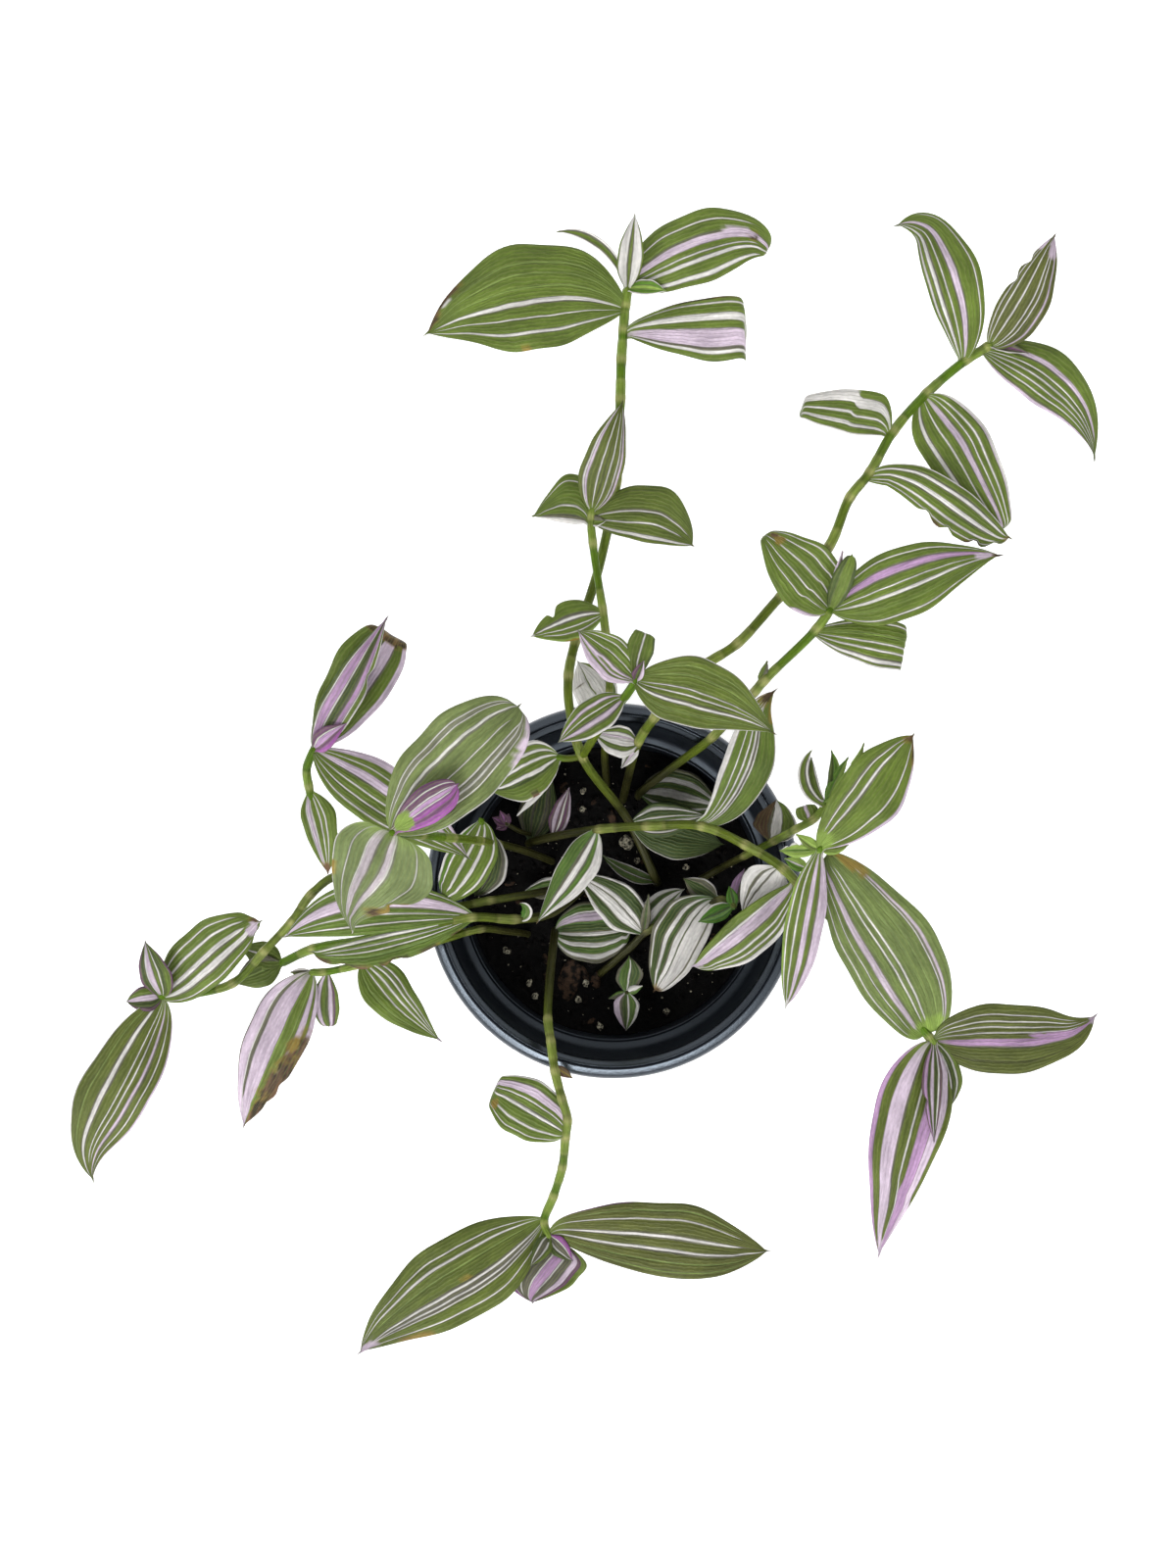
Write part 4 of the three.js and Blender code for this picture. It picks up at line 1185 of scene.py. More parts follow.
    def band_edges(self, along: np.ndarray, draw: np.random.Generator) -> tuple[np.ndarray, np.ndarray]:
        """Where each band ends across the blade, and its colour, at each row.

        A band's width is its share, times a slow and a quick wave of its own along the leaf, times
        its fading in and out; the widths of a row are then scaled to fill it. A thin pale stripe
        with no end of its own gets one near the tip.

        Args:
            along: the rows' places.
            draw: the leaf's random numbers.

        Returns:
            Edges from 0 to 1, one more than the bands, and colours, both by row.
        """
        found = BAND.findall(self.bands)
        count = len(found)
        share = np.array([float(size) for _, size, _, _ in found])
        thin = np.array([letter in PALE for letter, _, _, _ in found]) & (share < LOOK.thin * share.sum())
        usual = np.where(thin, draw.uniform(*LOOK.thin_ends, count), LOOK.never)
        start = np.array([float(s) if s else -1.0 for _, _, s, _ in found])
        end = np.array([float(e) if e else own for (_, _, _, e), own in zip(found, usual)])
        tint = np.array([LETTERS[letter] for letter, _, _, _ in found])
        green = np.array([letter in GREENS for letter, _, _, _ in found])[:, None]
        tint = np.where(green, blended(tint, Pigment.OLIVE.light, self.olive), tint)
        tint = blended(tint, Pigment.HAZE.light, self.haze)
        tint = tint * draw.uniform(*LOOK.band_tones, (count, 1))
        swing = np.zeros((len(along), count))
        for fewest, most, size in LOOK.band_waves:
            waves, phase = draw.uniform(fewest, most, count), draw.uniform(0, 2 * math.pi, count)
            swing += size * np.sin(2 * math.pi * waves * along[:, None] + phase)
        shown = smoothstep(along[:, None], start, start + LOOK.taper)
        shown = shown * smoothstep(along[:, None], end, end - LOOK.taper)
        width = share * (1 + swing) * (LOOK.remnant + (1 - LOOK.remnant) * shown)
        edges = np.hstack([np.zeros((len(along), 1)), np.cumsum(width, 1)])
        edges /= edges[:, -1:]
        before, after = np.roll(tint, 1, 0), np.roll(tint, -1, 0)
        before[0], after[-1] = tint[min(1, count - 1)], tint[max(count - 2, 0)]
        beside = np.where(before.sum(1, keepdims=True) < after.sum(1, keepdims=True), before, after)
        weight = smoothstep(shown, 0.0, LOOK.fading)[..., None]
        return edges, blended(beside, tint, weight)

    def columns(self, edges: np.ndarray, tints: np.ndarray) -> tuple[np.ndarray, np.ndarray, np.ndarray]:
        """Grid columns that follow the bands, so that every stripe has crisp sides.

        Each band has columns just inside both its edges and at its middle. Each edge between
        bands has one, shaded where a pale band meets a dark one. A band stands up between its
        edges like a quilt, the more the wider it is.

        Args:
            edges: band edges by row.
            tints: band colours by row.

        Returns:
            Places across from 0 to 1, colours, and the quilt's height, all by row and column.
        """
        low, high = edges[:, :-1], edges[:, 1:]
        inset = np.minimum(LOOK.margin / self.width, LOOK.margin_most * (high - low))
        inner = np.stack([low + inset, (low + high) / 2, high - inset], 2)
        inner_tints = np.repeat(tints[:, :, None], 3, 2)
        left, right = tints[:, :-1], tints[:, 1:]
        middle = (left + right) / 2
        gain, most = LOOK.seam_shade
        contrast = np.clip(np.abs(left - right).sum(-1, keepdims=True) * gain, 0, most)
        seam = blended(middle, Pigment.SHADE.light, contrast)
        seam = np.concatenate([seam, tints[:, -1:]], 1)
        places = np.concatenate([inner, high[:, :, None]], 2).reshape(len(edges), -1)
        shades = np.concatenate([inner_tints, seam[:, :, None]], 2).reshape(len(edges), -1, 3)
        quilted = np.array([LOOK.quilt_sides, 1.0, LOOK.quilt_sides, 0.0])
        stand = np.clip((high - low) * self.width / LOOK.quilt_width, 0, 1)[:, :, None] * quilted
        return (np.hstack([np.zeros((len(edges), 1)), places]),
                np.concatenate([tints[:, :1], shades], 1),
                np.hstack([np.zeros((len(edges), 1)), stand.reshape(len(edges), -1)]))

    def marked(self, colours: np.ndarray, along: np.ndarray, across: np.ndarray, ragged: np.ndarray,
               streaks: np.ndarray) -> np.ndarray:
        """Lays the leaf's marks over its stripes, with ragged edges and an ochre rim if burnt.

        Args:
            colours: the stripes' colours.
            along: places along, in the grid's shape.
            across: places across.
            ragged: noise in the same shape.
            streaks: noise drawn out along the leaf, for burnt tissue.

        Returns:
            The changed colours.
        """
        for letter, (place, offset, reach, reach_across) in spots(self.marks):
            far = np.hypot((along - place) / reach, (across - offset) / reach_across)
            far = far + LOOK.mark_ragged * ragged
            uneven = 1 + LOOK.mark_uneven * ragged
            if letter == Pigment.BROWN.letter:
                outer, inner, share = LOOK.burnt_rim
                rim = smoothstep(far, outer, inner)[..., None] * share
                colours = blended(colours, Pigment.OCHRE.light, rim)
                by_streaks, by_noise = LOOK.burnt_uneven
                uneven = np.clip(1 + by_streaks * streaks + by_noise * ragged, *LOOK.burnt_range)
            core = smoothstep(far, *LOOK.mark_edge)[..., None]
            colours = blended(colours, LETTERS[letter] * uneven[..., None], core)
        return colours

    def spine(self, base: np.ndarray,
              along: np.ndarray) -> tuple[np.ndarray, np.ndarray, np.ndarray, float]:
        """The centre line in its place, with the directions to its left and up from the blade.

        Args:
            base: where the leaf starts.
            along: the rows' places.

        Returns:
            Points, side vectors and normals by row, and the leaf's length.
        """
        line, turned, pitched = self.unit_line()
        spot = self.bend[0] if self.bend else 1.0
        length, aimed = self.aim(base, line[round(spot * LOOK.line_steps)])
        index, steps = along * LOOK.line_steps, np.arange(LOOK.line_steps + 1)
        x, y, z = (np.interp(index, steps, line[:, axis]) * length for axis in range(3))
        x, y = rotated(x, y, aimed)
        facing = np.interp(index, steps, turned) + aimed
        pitch = np.interp(index, steps, pitched)
        cosine, sine = np.cos(facing), np.sin(facing)
        side = np.stack([-sine, cosine, np.zeros_like(facing)], 1)
        normal = np.stack([-np.sin(pitch) * cosine, -np.sin(pitch) * sine, np.cos(pitch)], 1)
        return base + np.stack([x, y, z], 1), side, normal, length

    def shaded(self, colours: np.ndarray, base: np.ndarray, spot: np.ndarray, along: np.ndarray,
               across: np.ndarray, ragged: np.ndarray) -> np.ndarray:
        """The bands' colours made uneven.

        They go over to lime where the blade clasps the stem, and the greens of leaves low in the
        pot get painted shade, darker and bluer. The marks come next, then streaks, stripes and
        clouds of noise over it all.

        Args:
            colours: the bands' colours.
            base: where the leaf starts.
            spot: places on the flat blade that the noise is read at, in millimetres.
            along: places along, in the grid's shape.
            across: places across, before any nick.
            ragged: noise in the same shape, for the marks' edges.

        Returns:
            The changed colours.
        """
        share, reach = LOOK.lime
        lime = share * (1 - smoothstep(along, 0.0, reach))[..., None]
        colours = blended(colours, Pigment.LIME.light, lime)
        # painted shade: the greens of leaves that start low in the pot turn darker and bluer
        inside = smoothstep(math.hypot(base[0], base[1]), *LOOK.mouth) * smoothstep(base[2], *LOOK.low)
        blue = colours[..., 2:]
        green = smoothstep(colours[..., 1:2] - blue, *LOOK.green_over_blue)
        green = green * smoothstep(blue, *LOOK.blue_under)
        colours = colours * (1 + inside * green * np.array(LOOK.pot_shade_tint))
        drawn_out = spot * np.array([1.0, LOOK.drawn_out, 1.0])
        streaks = lattice_noise(drawn_out, *LOOK.streaks)
        uneven = 1 + LOOK.streak * streaks + layered_noise(drawn_out, LOOK.stripes)
        uneven = uneven + layered_noise(spot, LOOK.clouds)
        return self.marked(colours, along, across, ragged, streaks) * uneven[..., None]

    def blade(self, base: np.ndarray, name: str) -> Surface:
        """The leaf as a thin closed shape.

        A point is the centre line's point, plus the side vector times the place across, plus the
        line's normal times the fold, the arch, the ruffle, the quilt and the buckling. The upper
        and lower skins lie half the thickness above and below it and meet along the edge.

        Args:
            base: where the leaf starts, in millimetres.
            name: seeds its own unevenness.

        Returns:
            The closed blade with colours and pattern places.
        """
        draw = seeded(name)
        rows = self.stations()
        centre, side, normal, length = self.spine(base, rows)
        spread, colours, quilt = self.columns(*self.band_edges(rows, draw))
        left, right = (self.half_width(rows, edge)[:, None] for edge in "LR")
        flat = left - spread * (left + right)
        half = np.where(flat > 0, left, right)
        along = np.broadcast_to(rows[:, None], flat.shape)
        across = self.bitten(flat / half, along)
        flat, sides = across * half, np.sign(across)
        (slow, slow_swing), (quick, quick_swing) = LOOK.rim
        rim = 1 + slow_swing * np.sin(slow * along + draw.uniform(0, LOOK.rim_phase))
        rim = rim + quick_swing * np.sin(quick * along + 2 * sides)
        waves, phase = draw.uniform(*LOOK.ruffles), draw.uniform(0, 1)
        wave = np.sin(2 * math.pi * (waves * along + phase + sides / 4))
        spot = np.stack([flat, along * length, np.full_like(flat, draw.uniform(0, LOOK.apart))], -1)
        fold = np.radians(self.fold + LOOK.clasp * np.exp(-along / LOOK.clasp_reach))
        folded = np.sqrt(across**2 + LOOK.keel) - math.sqrt(LOOK.keel)
        body = np.sin(math.pi * along) ** LOOK.body_power
        lift = half * (folded * np.sin(fold) - LOOK.arch * across**2 * body
                       + LOOK.ruffle * wave * np.abs(across) ** 3)
        lift = lift + body * (LOOK.quilt * quilt + layered_noise(spot, LOOK.buckles))
        sideways = flat * rim * np.cos(fold)
        middle = centre[:, None] + side[:, None] * sideways[..., None] + normal[:, None] * lift[..., None]
        squared = zip((across, 2 * along - 1), LOOK.edge_powers)
        flare = math.prod(np.sqrt(np.clip(1 - place**power, 0, 1)) for place, power in squared)
        skin = normal[:, None] * (LOOK.thickness / 2 * flare)[..., None]
        ragged = layered_noise(middle, LOOK.ragged)
        colours = self.shaded(colours, base, spot, along, 1 - 2 * spread, ragged)
        # the leaf's tone, under 1 mostly painted shade, times a random change of tone
        colours = colours * (self.tone * draw.uniform(*LOOK.tones))
        pattern = np.stack([spread * self.width, along * length], -1)
        return closed_blade(middle + skin, middle - skin, colours, pattern)


def spots(words: str) -> list[tuple[str, list[float]]]:
    """Marks or nicks in their short form: a letter and numbers each, with semicolons between."""
    parts = [part.split() for part in words.split(";") if part.strip()]
    return [(letter, [float(number) for number in numbers]) for letter, *numbers in parts]


def closed_blade(upper: np.ndarray, lower: np.ndarray, colours: np.ndarray, pattern: np.ndarray) -> Surface:
    """Joins two skins of the same grid along their shared outline.

    Args:
        upper: points of the upper skin, by row and column.
        lower: points of the lower skin.
        colours: the upper skin's colours; the lower skin's are greyer and darker.
        pattern: pattern places.

    Returns:
        A closed surface whose outline points are shared.
    """
    rows, columns = upper.shape[:2]
    numbers = np.arange(rows * columns).reshape(rows, columns)
    inside = np.zeros((rows, columns), bool)
    inside[1:-1, 1:-1] = True
    under = numbers.copy()
    under[inside] = rows * columns + np.arange(inside.sum())
    top = grid_quads(rows, columns)
    bottom = under.ravel()[top][:, ::-1]
    outline = (upper + lower) / 2
    points = np.where(inside[..., None], upper, outline).reshape(-1, 3)
    kept, purple = LOOK.underside
    underside = colours[inside] * kept + Pigment.PURPLE.light * purple
    return Surface(
        np.vstack([points, lower[inside]]),
        np.vstack([top, bottom]),
        colours=np.vstack([colours.reshape(-1, 3), underside]),
        pattern=np.vstack([pattern.reshape(-1, 2), pattern[inside]]),
    )


# ---------------------------------------------------------------- shoots


@dataclass(frozen=True)
class Shoot:
    """A stem with its leaves and branches. A branch starts at one of its parent's points."""

    name: str
    radius: float
    stem: dict[str, Triple]
    leaves: dict[str, Leaf]
    branches: tuple["Shoot", ...] = ()
    start: str = ""

    def grow(self, origin: np.ndarray | None = None) -> tuple[list[Surface], list[Surface]]:
        """Builds the stem, its leaves and its branches.

        Args:
            origin: the parent's point that a branch starts at.

        Returns:
            The stems' surfaces and the leaves' surfaces.
        """
        names = ([""] if origin is not None else []) + list(self.stem)
        picks = [EYE.place(pick) for pick in self.stem.values()]
        points = np.array(([origin] if origin is not None else []) + picks)
        line = StemLine(points)
        joints = np.array([i for i, name in enumerate(names) if name.startswith(("ring", "fork"))], float)
        stems = [StemLook().tube(line, self.radius, joints, self.name, 0.0 if self.start else 1.0)]
        blades = [leaf.blade(self.root(line, names.index(leaf.on)), f"{self.name}.{title}")
                  for title, leaf in self.leaves.items()]
        for branch in self.branches:
            more_stems, more_blades = branch.grow(points[names.index(branch.start)])
            stems, blades = stems + more_stems, blades + more_blades
        return stems, blades

    def root(self, line: StemLine, index: int) -> np.ndarray:
        """Where a leaf starts: a little back from its point, inside the stem."""
        place = np.array([float(index)])
        return line.at(place)[0] - LOOK.root_sink * line.direction(place)[0]

    def build(self, leaf_skin: bpy.types.Material, stem_skin: bpy.types.Material) -> None:
        """Makes the shoot's two pieces, which stand for its solid.

        Args:
            leaf_skin: the leaves' finish.
            stem_skin: the stems' finish.
        """
        stems, blades = self.grow()
        leaves = mesh_object(self.name + "_leaves", joined(blades), leaf_skin)
        stalk = mesh_object(self.name + "_stem", joined(stems), stem_skin)
        dress(leaves, "foliage", self.name)
        dress(stalk, "foliage", self.name)


# A stem's points are [column, row, height]. One named ring is a joint, and so is one named fork.
# A leaf's tone under 1 is mostly painted shade, on leaves low in the pot and behind others.
SHOOTS: tuple[Shoot, ...] = (
    Shoot("shoot_north_long", 1.75, {
        "root": (669, 897, 74), "soil": (669, 897, 94), "low": (641, 837, 105), "fork": (594, 772, 128),
        "knee": (581, 722, 135), "ring1": (580, 690, 136), "ring2": (587, 655, 134),
        "pass": (603, 606, 132), "cross": (610, 583, 134), "ring3": (621, 536, 139),
        "ring4": (629, 492, 144), "ring5": (631, 450, 146), "ring6": (633, 408, 147),
        "ring7": (634, 368, 146), "ring8": (636, 338, 144), "ring9": (638, 312, 143),
        "tip": (641, 290, 145),
    }, {
        "fan": Leaf("low", (722, 832), (6,), (6,), 5, 8, 6, "d1.5 w1 d2 w.5 g1 w1.4 d2 w.6 d1.5",
            tone=0.8, marks="b 1 .5 .05 1"),
        "underFan": Leaf("low", (740, 862), (7, 0.45), (9, 0.45), -8, 0, 4, "w.3 d8 d8 w.3", tone=0.75),
        "crumpled": Leaf("soil", (614, 872), (3,), (2.5,), 24, 40, 15, "w.4 g2 w.4 g2 w.5", tone=0.8,
            turn=-30),
        "broadLeft": Leaf("ring9", (431, 344), (17.5, 0.44, 0.75, 0.85), (16.5, 0.37, 0.6, 0.95), 22, 52,
            8, "g4.6 w1 g4 w.45 g3.4 s.3 w1.5 g3.4 y.3 g3.6 y.3 g3 y.2 g4 w.5>.78 g1.6", turn=42,
            tone=1.0,
            marks="b .93 -.85 .06 .4; b .84 -1 .09 .2; w .82 -.8 .03 .06; o .5 1 .03 .06; w 1 0 .02 1"),
        "bentRight": Leaf("ring8", (756, 333), (9.5, 0.6, 0.55, 0.5), (11, 0.6, 1.0, 0.5), 10, 10, 5,
            "g1.2 w.4 g2.2 w1.8 g1.8 l4.3 s.7 w.9 g1.6", turn=-8, bend=(0.7, 84), tone=1.04,
            marks="b .45 1 .2 .05"),
        "topRight": Leaf("tip", (781, 254), (12.5, 0.42, 0.5, 0.5), (10, 0.45, 0.7, 0.6), 26, 46, 6,
            "g3 w.4 g3 s.5 l2 g1.5 w.4 g1 w1.1 g2.6 w1.2 g1.4", turn=-22, hook=-40, bend=(0.93, 70),
            marks="b .84 .15 .03 .16; l .75 .25 .1 .12; w .97 .1 .02 .6"),
        "rolled": Leaf("tip", (567, 237), (2, 0.6), (1.6, 0.6), 38, 50, 20, "w.4 s.5 g1.4 s.5 w.8",
            turn=78),
        "spear": Leaf("tip", (648, 217), (4.4, 0.4), (4.4, 0.42), 56, 40, 18,
            "g.5 w3 s.3 g.9 s.3 w3 g.6"),
        "limeBud": Leaf("tip", (680, 297), (3, 0.5), (2.6, 0.5), 44, 40, 20, "w.3 h1 y1 h1 w.4"),
    }, (
        Shoot("crown", 1.6, {
            "lift": (603, 757, 138), "climb": (622, 730, 150), "neck": (640, 708, 157),
            "tip": (651, 691, 162),
        }, {
            "bigRight": Leaf("tip", (793, 750), (12.6, 0.4, 0.6, 0.9), (9, 0.28, 0.55, 1.15), 20, 46, 6,
                "w.2 g2.6 y.3 g2.6 y.2 g3.4 w.35 g1.2 w.4 g1.4 s.4 w.9 g2 y.2 g3 w.2", turn=-6, tone=1.04,
                olive=0.4, marks="b 1 0 .03 1"),
            "lilacLeft": Leaf("tip", (589, 643), (6.6, 0.4), (7, 0.42), 26, 42, 10,
                "l3 g.8 l1 g.8<.6 l1.2 s.6 g2.5 w.4 g3 w.4 g2 w.4 g1", tone=0.95),
            "backCurl": Leaf("tip", (657, 647), (4, 0.55, 0.7, 0.4), (4.4, 0.6, 0.8, 0.4), 25, 30, 5,
                "g4 w.6 g3 d.6", turn=-24, bend=(0.8, 80), tone=0.9),
            "lowLeft": Leaf("neck", (569, 758), (5.6, 0.4), (6.2, 0.4, 0.65), 4, 30, 8,
                "w1 g2.2 s.5 l2 s.4 g1.6 w.4 g1.4 s.3 l1.2 g2 w.3", tone=0.95),
            "heartBud": Leaf("tip", (657, 674), (2.4,), (2.2,), 50, 10, 40, "p1 d1 l1"),
        }, start="fork"),
        Shoot("side", 1.3, {
            "out": (578, 774, 128), "tip": (566, 772, 128),
        }, {
            "sideLeft": Leaf("tip", (497, 806), (10, 0.5, 0.6, 0.7), (9, 0.38, 0.5, 0.8), 2, 14, 8,
                "w.4 g4.4 d1 w1.2 g2 w.9 g1.6 w1 g1.6 w1.4", turn=12, marks="b .45 1 .05 .15"),
            "whiteNib": Leaf("tip", (527, 833), (1.8,), (1.6,), -20, 6, 10, "w1", turn=-20),
        }, start="fork"),
    )),
    Shoot("shoot_north_short", 1.45, {
        "root": (619, 800, 74), "soil": (619, 800, 88), "low": (617, 765, 108), "ring1": (621, 722, 126),
        "ring2": (622, 680, 132), "ring3": (618, 646, 139), "ring4": (615, 622, 141),
        "dip": (610, 590, 141), "ring5": (605, 555, 142), "ring6": (603, 528, 143), "tip": (605, 516, 144),
    }, {
        "paleHidden": Leaf("ring1", (589, 674), (7.5,), (7.5,), 0, 10, 6, "w4 g.2 w3 g1.2 w.6",
            marks="b .6 .5 .02 .08"),
        "notched": Leaf("ring4", (541, 650), (5.8, 0.45, 0.7, 0.8), (6.8, 0.4, 0.6, 0.8), 24, 36, 6,
            "y1.2 g1.5 w.4 g1.6 w.4 g1.6 s.4 w1.2 s.8 g5", turn=6, nicks="R .64 .42 .045",
            marks="w 1 0 .06 1; o .5 1 .1 .1"),
        "leftSmall": Leaf("ring6", (542, 527), (2.2, 0.4), (14, 0.36, 0.9, 1.25), 16, 34, 8,
            "w1.1 s.8 g1.6 w.4 g4.6 w.25 g1.5", turn=20, tone=0.9),
        "spear": Leaf("tip", (636, 408), (7, 0.36, 0.6, 0.95), (6.8, 0.4, 0.6, 0.95), 46, 60, 14,
            "g1.6 w.6 l.9 g2.6 w.5 g1 d.5 g1 w.4 g1.6 w.3 s.6 l.6 g.8", tone=0.84, olive=0.6),
        "rightSmall": Leaf("ring6", (709, 558), (14, 0.5, 0.6, 0.62), (4.6, 0.42, 0.7, 0.7), 12, 40, 6,
            "g6 s.4 w.4 g2.4 w.4 g2.4 w.8 g.8", turn=-22, marks="b 1 0 .03 1", tone=0.92, olive=0.4),
        "budGrey": Leaf("ring6", (618, 532), (2.2,), (2,), 20, 10, 30, "s1 g1 w.4"),
    }),
    Shoot("shoot_north_east_long", 1.75, {
        "root": (634, 818, 74), "soil": (636, 814, 90), "ring1": (652, 756, 118),
        "ring2": (668, 732, 127), "pass": (695, 700, 133), "ring3": (720, 678, 136),
        "ring4": (752, 657, 137), "ring5": (797, 608, 138), "ring6": (845, 559, 144),
        "ring7": (867, 508, 147), "ring8": (887, 483, 147), "ring9": (911, 441, 143),
        "ring10": (945, 402, 138), "ring11": (985, 368, 134), "ring12": (1006, 355, 133),
        "tip": (1014, 350, 134),
    }, {
        "tucked": Leaf("ring1", (606, 748), (5.6,), (5.6,), 28, 36, 8, "w2 g1.4 w2.2 l.6 w1 g1.2 w.8",
            turn=-25),
        "whiteTip": Leaf("ring1", (634, 784), (2.4,), (2.2,), -30, 10, 10, "w1 l.6 g.3 w1"),
        "tornLow": Leaf("ring8", (1034, 551), (9, 0.32, 0.6, 0.9), (8.2, 0.68, 1.9, 0.45), -2, 10, 5,
            "w.5 g2 s.4 w1.3 s.3 g2.6 w1.5 s.5 g2.3 w1 g1.8 w.5 g1.4", turn=-12,
            nicks="R .42 .3 .04; R .58 .22 .03; R .78 .25 .03; R .9 .3 .03",
            marks="b 1 0 .05 1; b .75 -1 .06 .12; b .5 -1 .04 .12"),
        "bentDown": Leaf("ring10", (1012, 540), (13.6, 0.36, 0.5, 0.6), (9, 0.25, 0.5, 1.2), 6, 8, 5,
            "w.9 l.3 g2.2 w.7 g1.6 w.5 g1.2 s.4 l1.8 g2.2 w.6 g3.2 s.3 w1.2 g3.2", turn=4,
            bend=(0.82, 84)),
        "smallLeft": Leaf("ring9", (823, 414), (5.4, 0.5, 0.9, 0.4), (10.6, 0.2, 0.8, 1.1), 8, 8, 8,
            "w.4 g1.6 w1 g1.9 w.8 g2 w3 g2.6<.42", turn=16, bend=(0.8, 84)),
        "archingUp": Leaf("ring11", (911, 231), (8.6, 0.48, 0.8, 0.9), (9.8, 0.46, 0.6, 0.75), 26, 50, 6,
            "g.6 w.6 g1 w1.1 s.4 g1.4 w.5 g1.6 s.3 l1.8 s.3 g4.4 w.35 g1.4", turn=34, hook=58),
        "archingRight": Leaf("ring12", (1117, 473), (9.2, 0.4, 0.55, 1.15), (8.8, 0.36, 0.6, 1.15), 18,
            52, 6, "g4.6 l1.4 s.3 g1.6 w.4 g1.2 w.6 g1.4 w.5 g1.4 w.5 g1.6 s.4 l.9", turn=-50, hook=-10),
        "tipUpright": Leaf("tip", (1078, 237), (5.6, 0.45, 0.5, 0.8), (10.4, 0.4, 0.5, 0.95), 40, 34, 14,
            "g.8 w.3 g1 w.35 g2 w.5 g2.4 w.4 g.8 w.35 g1.6 l.6 g1.2", turn=4, tone=0.86, olive=0.8,
            nicks="L .55 .25 .05; L .72 .3 .04", marks="l .93 -.5 .12 .6; l .88 .9 .06 .3; b 1 0 .05 1"),
        "tipRoll": Leaf("tip", (1050, 361), (2.2,), (2,), 25, 15, 40, "s1 p1 s1 w.5"),
    }),
    Shoot("shoot_east_north", 1.65, {
        "root": (654, 815, 74), "soil": (654, 808, 95), "low": (690, 780, 108), "ring1": (727, 752, 122),
        "ring2": (770, 706, 132), "ring3": (779, 695, 134), "ring4": (833, 642, 141),
        "tip": (850, 618, 143),
    }, {
        "baseBroad": Leaf("soil", (735, 824), (9.4, 0.4), (8.6, 0.45), 12, 10, 4,
            "s1 d1.5 w1.4 g1.6 w2.2 d2 w1 g2", turn=-28, tone=0.78, marks="b .92 .9 .07 .3"),
        "dryNib": Leaf("ring3", (783, 674), (1.6,), (1.6,), 30, 0, 20, "g1 s1"),
        "bentLow": Leaf("ring4", (921, 660), (7.4, 0.62, 0.6, 0.5), (8.2, 0.66, 0.6, 0.5), 0, 8, 5,
            "g1 w.4 g3 y.4 g1.6 w.5 g1.4 w.6 g1.5 s.3 w1.1 g.6 w.4", turn=-6, bend=(0.72, 85)),
        "broadBack": Leaf("tip", (782, 549), (9.4, 0.3, 0.4, 0.7), (12, 0.32, 0.38, 0.7), 14, 16, 6,
            "l1.1<.3 g3.4 w.25 g2 w.35 g2.4 w.45 g2.6 w.35 g2 w.35 g1", turn=0, bend=(0.9, 70),
            marks="b .86 -.45 .035 .2; o .8 -.3 .05 .3", tone=1.02),
        "longRight": Leaf("tip", (1025, 566), (10.2, 0.4, 0.6, 0.9), (12.2, 0.33, 0.55, 1.2), 16, 36, 6,
            "g1.6 w.35 g1.8 s.4 v1.9 s.3 g2 w.35 g1.6 w.9 g2.4 y.2 g2.6 w.4 g1.4", turn=-12,
            marks="l .93 .1 .12 .5; b 1 0 .07 1"),
        "smallTop": Leaf("tip", (870, 565), (3.4, 0.5, 0.5, 0.35), (3.6, 0.5, 0.5, 0.35), 40, 30, 14,
            "d1 g1.6 d.5"),
        "lilacSliver": Leaf("tip", (860, 561), (1.8,), (1.6,), 30, 10, 20, "l1 s.5 p.5"),
    }),
    Shoot("shoot_east", 1.75, {
        "root": (541, 861, 74), "soil": (543, 859, 95), "low": (568, 853, 103), "ring1": (612, 846, 112),
        "ring2": (660, 843, 119), "ring3": (716, 843, 124), "ring4": (760, 862, 128),
        "ring5": (800, 887, 131), "fork": (815, 903, 133), "pass": (862, 952, 131),
        "ring6": (915, 1020, 123), "ring7": (948, 1058, 118), "tip": (956, 1067, 119),
    }, {
        "shadeBroad": Leaf("soil", (560, 782), (6.5,), (6.5,), 10, 10, 5, "s1 d1.5 s.4 d1.5 s1 d1.5",
            tone=0.5),
        "shadePurple": Leaf("low", (581, 803), (3.6,), (3.6,), 5, 10, 15, "p1 l1 p.6 w.6 p1 l.8",
            tone=0.85),
        "slenderDown": Leaf("ring1", (547, 943), (8.4, 0.33, 0.6, 1.0), (4.8, 0.3, 0.7, 1.0), 12, 18, 14,
            "w2.6 g1.4 s.3 w1.6 s.8 g3.2 w.2", marks="b 1 0 .06 1"),
        "standing": Leaf("ring3", (794, 702), (6.4, 0.5, 1.2, 0.8), (9.8, 0.42, 0.6, 0.85), 22, 30, 6,
            "w1.6 g2.2 w.35 g1.4 w.5 g.8 w.7 s.5 w.4 g5 w.3", turn=56, hook=-56,
            marks="b 1 0 .12 1; o .84 -1 .09 .14; b .8 1 .08 .2"),
        "whiteLow": Leaf("ring5", (757, 934), (8,), (8,), -30, 0, 5, "w5 s.3 w1 s.5 w2", tone=0.95),
        "pinkLow": Leaf("fork", (704, 988), (10.6, 0.5, 0.7, 0.6), (4.6, 0.5, 0.7, 0.8), -12, 14, 8,
            "w1 g.8 w.5 g1 w.6 g1.5 s.3 l3 w.6 g2.2", turn=-6, marks="l 1 0 .08 1"),
        "greatBack": Leaf("ring7", (842, 862), (14.4, 0.55, 0.35, 0.45), (16, 0.36, 0.3, 0.7), 34, 34, 5,
            "g1.8 w.4 g2.4 w.3 g1.6 l1.9 s.3 g2.8 w.6 g1.4 w.7 g2.6 y.2 g2.4 y.2 g3 w.4 s.5 l1 g3",
            turn=6, tone=0.98, haze=0.15, marks="b .98 -.5 .03 .7; o .88 -.72 .07 .3; y .02 0 .07 1"),
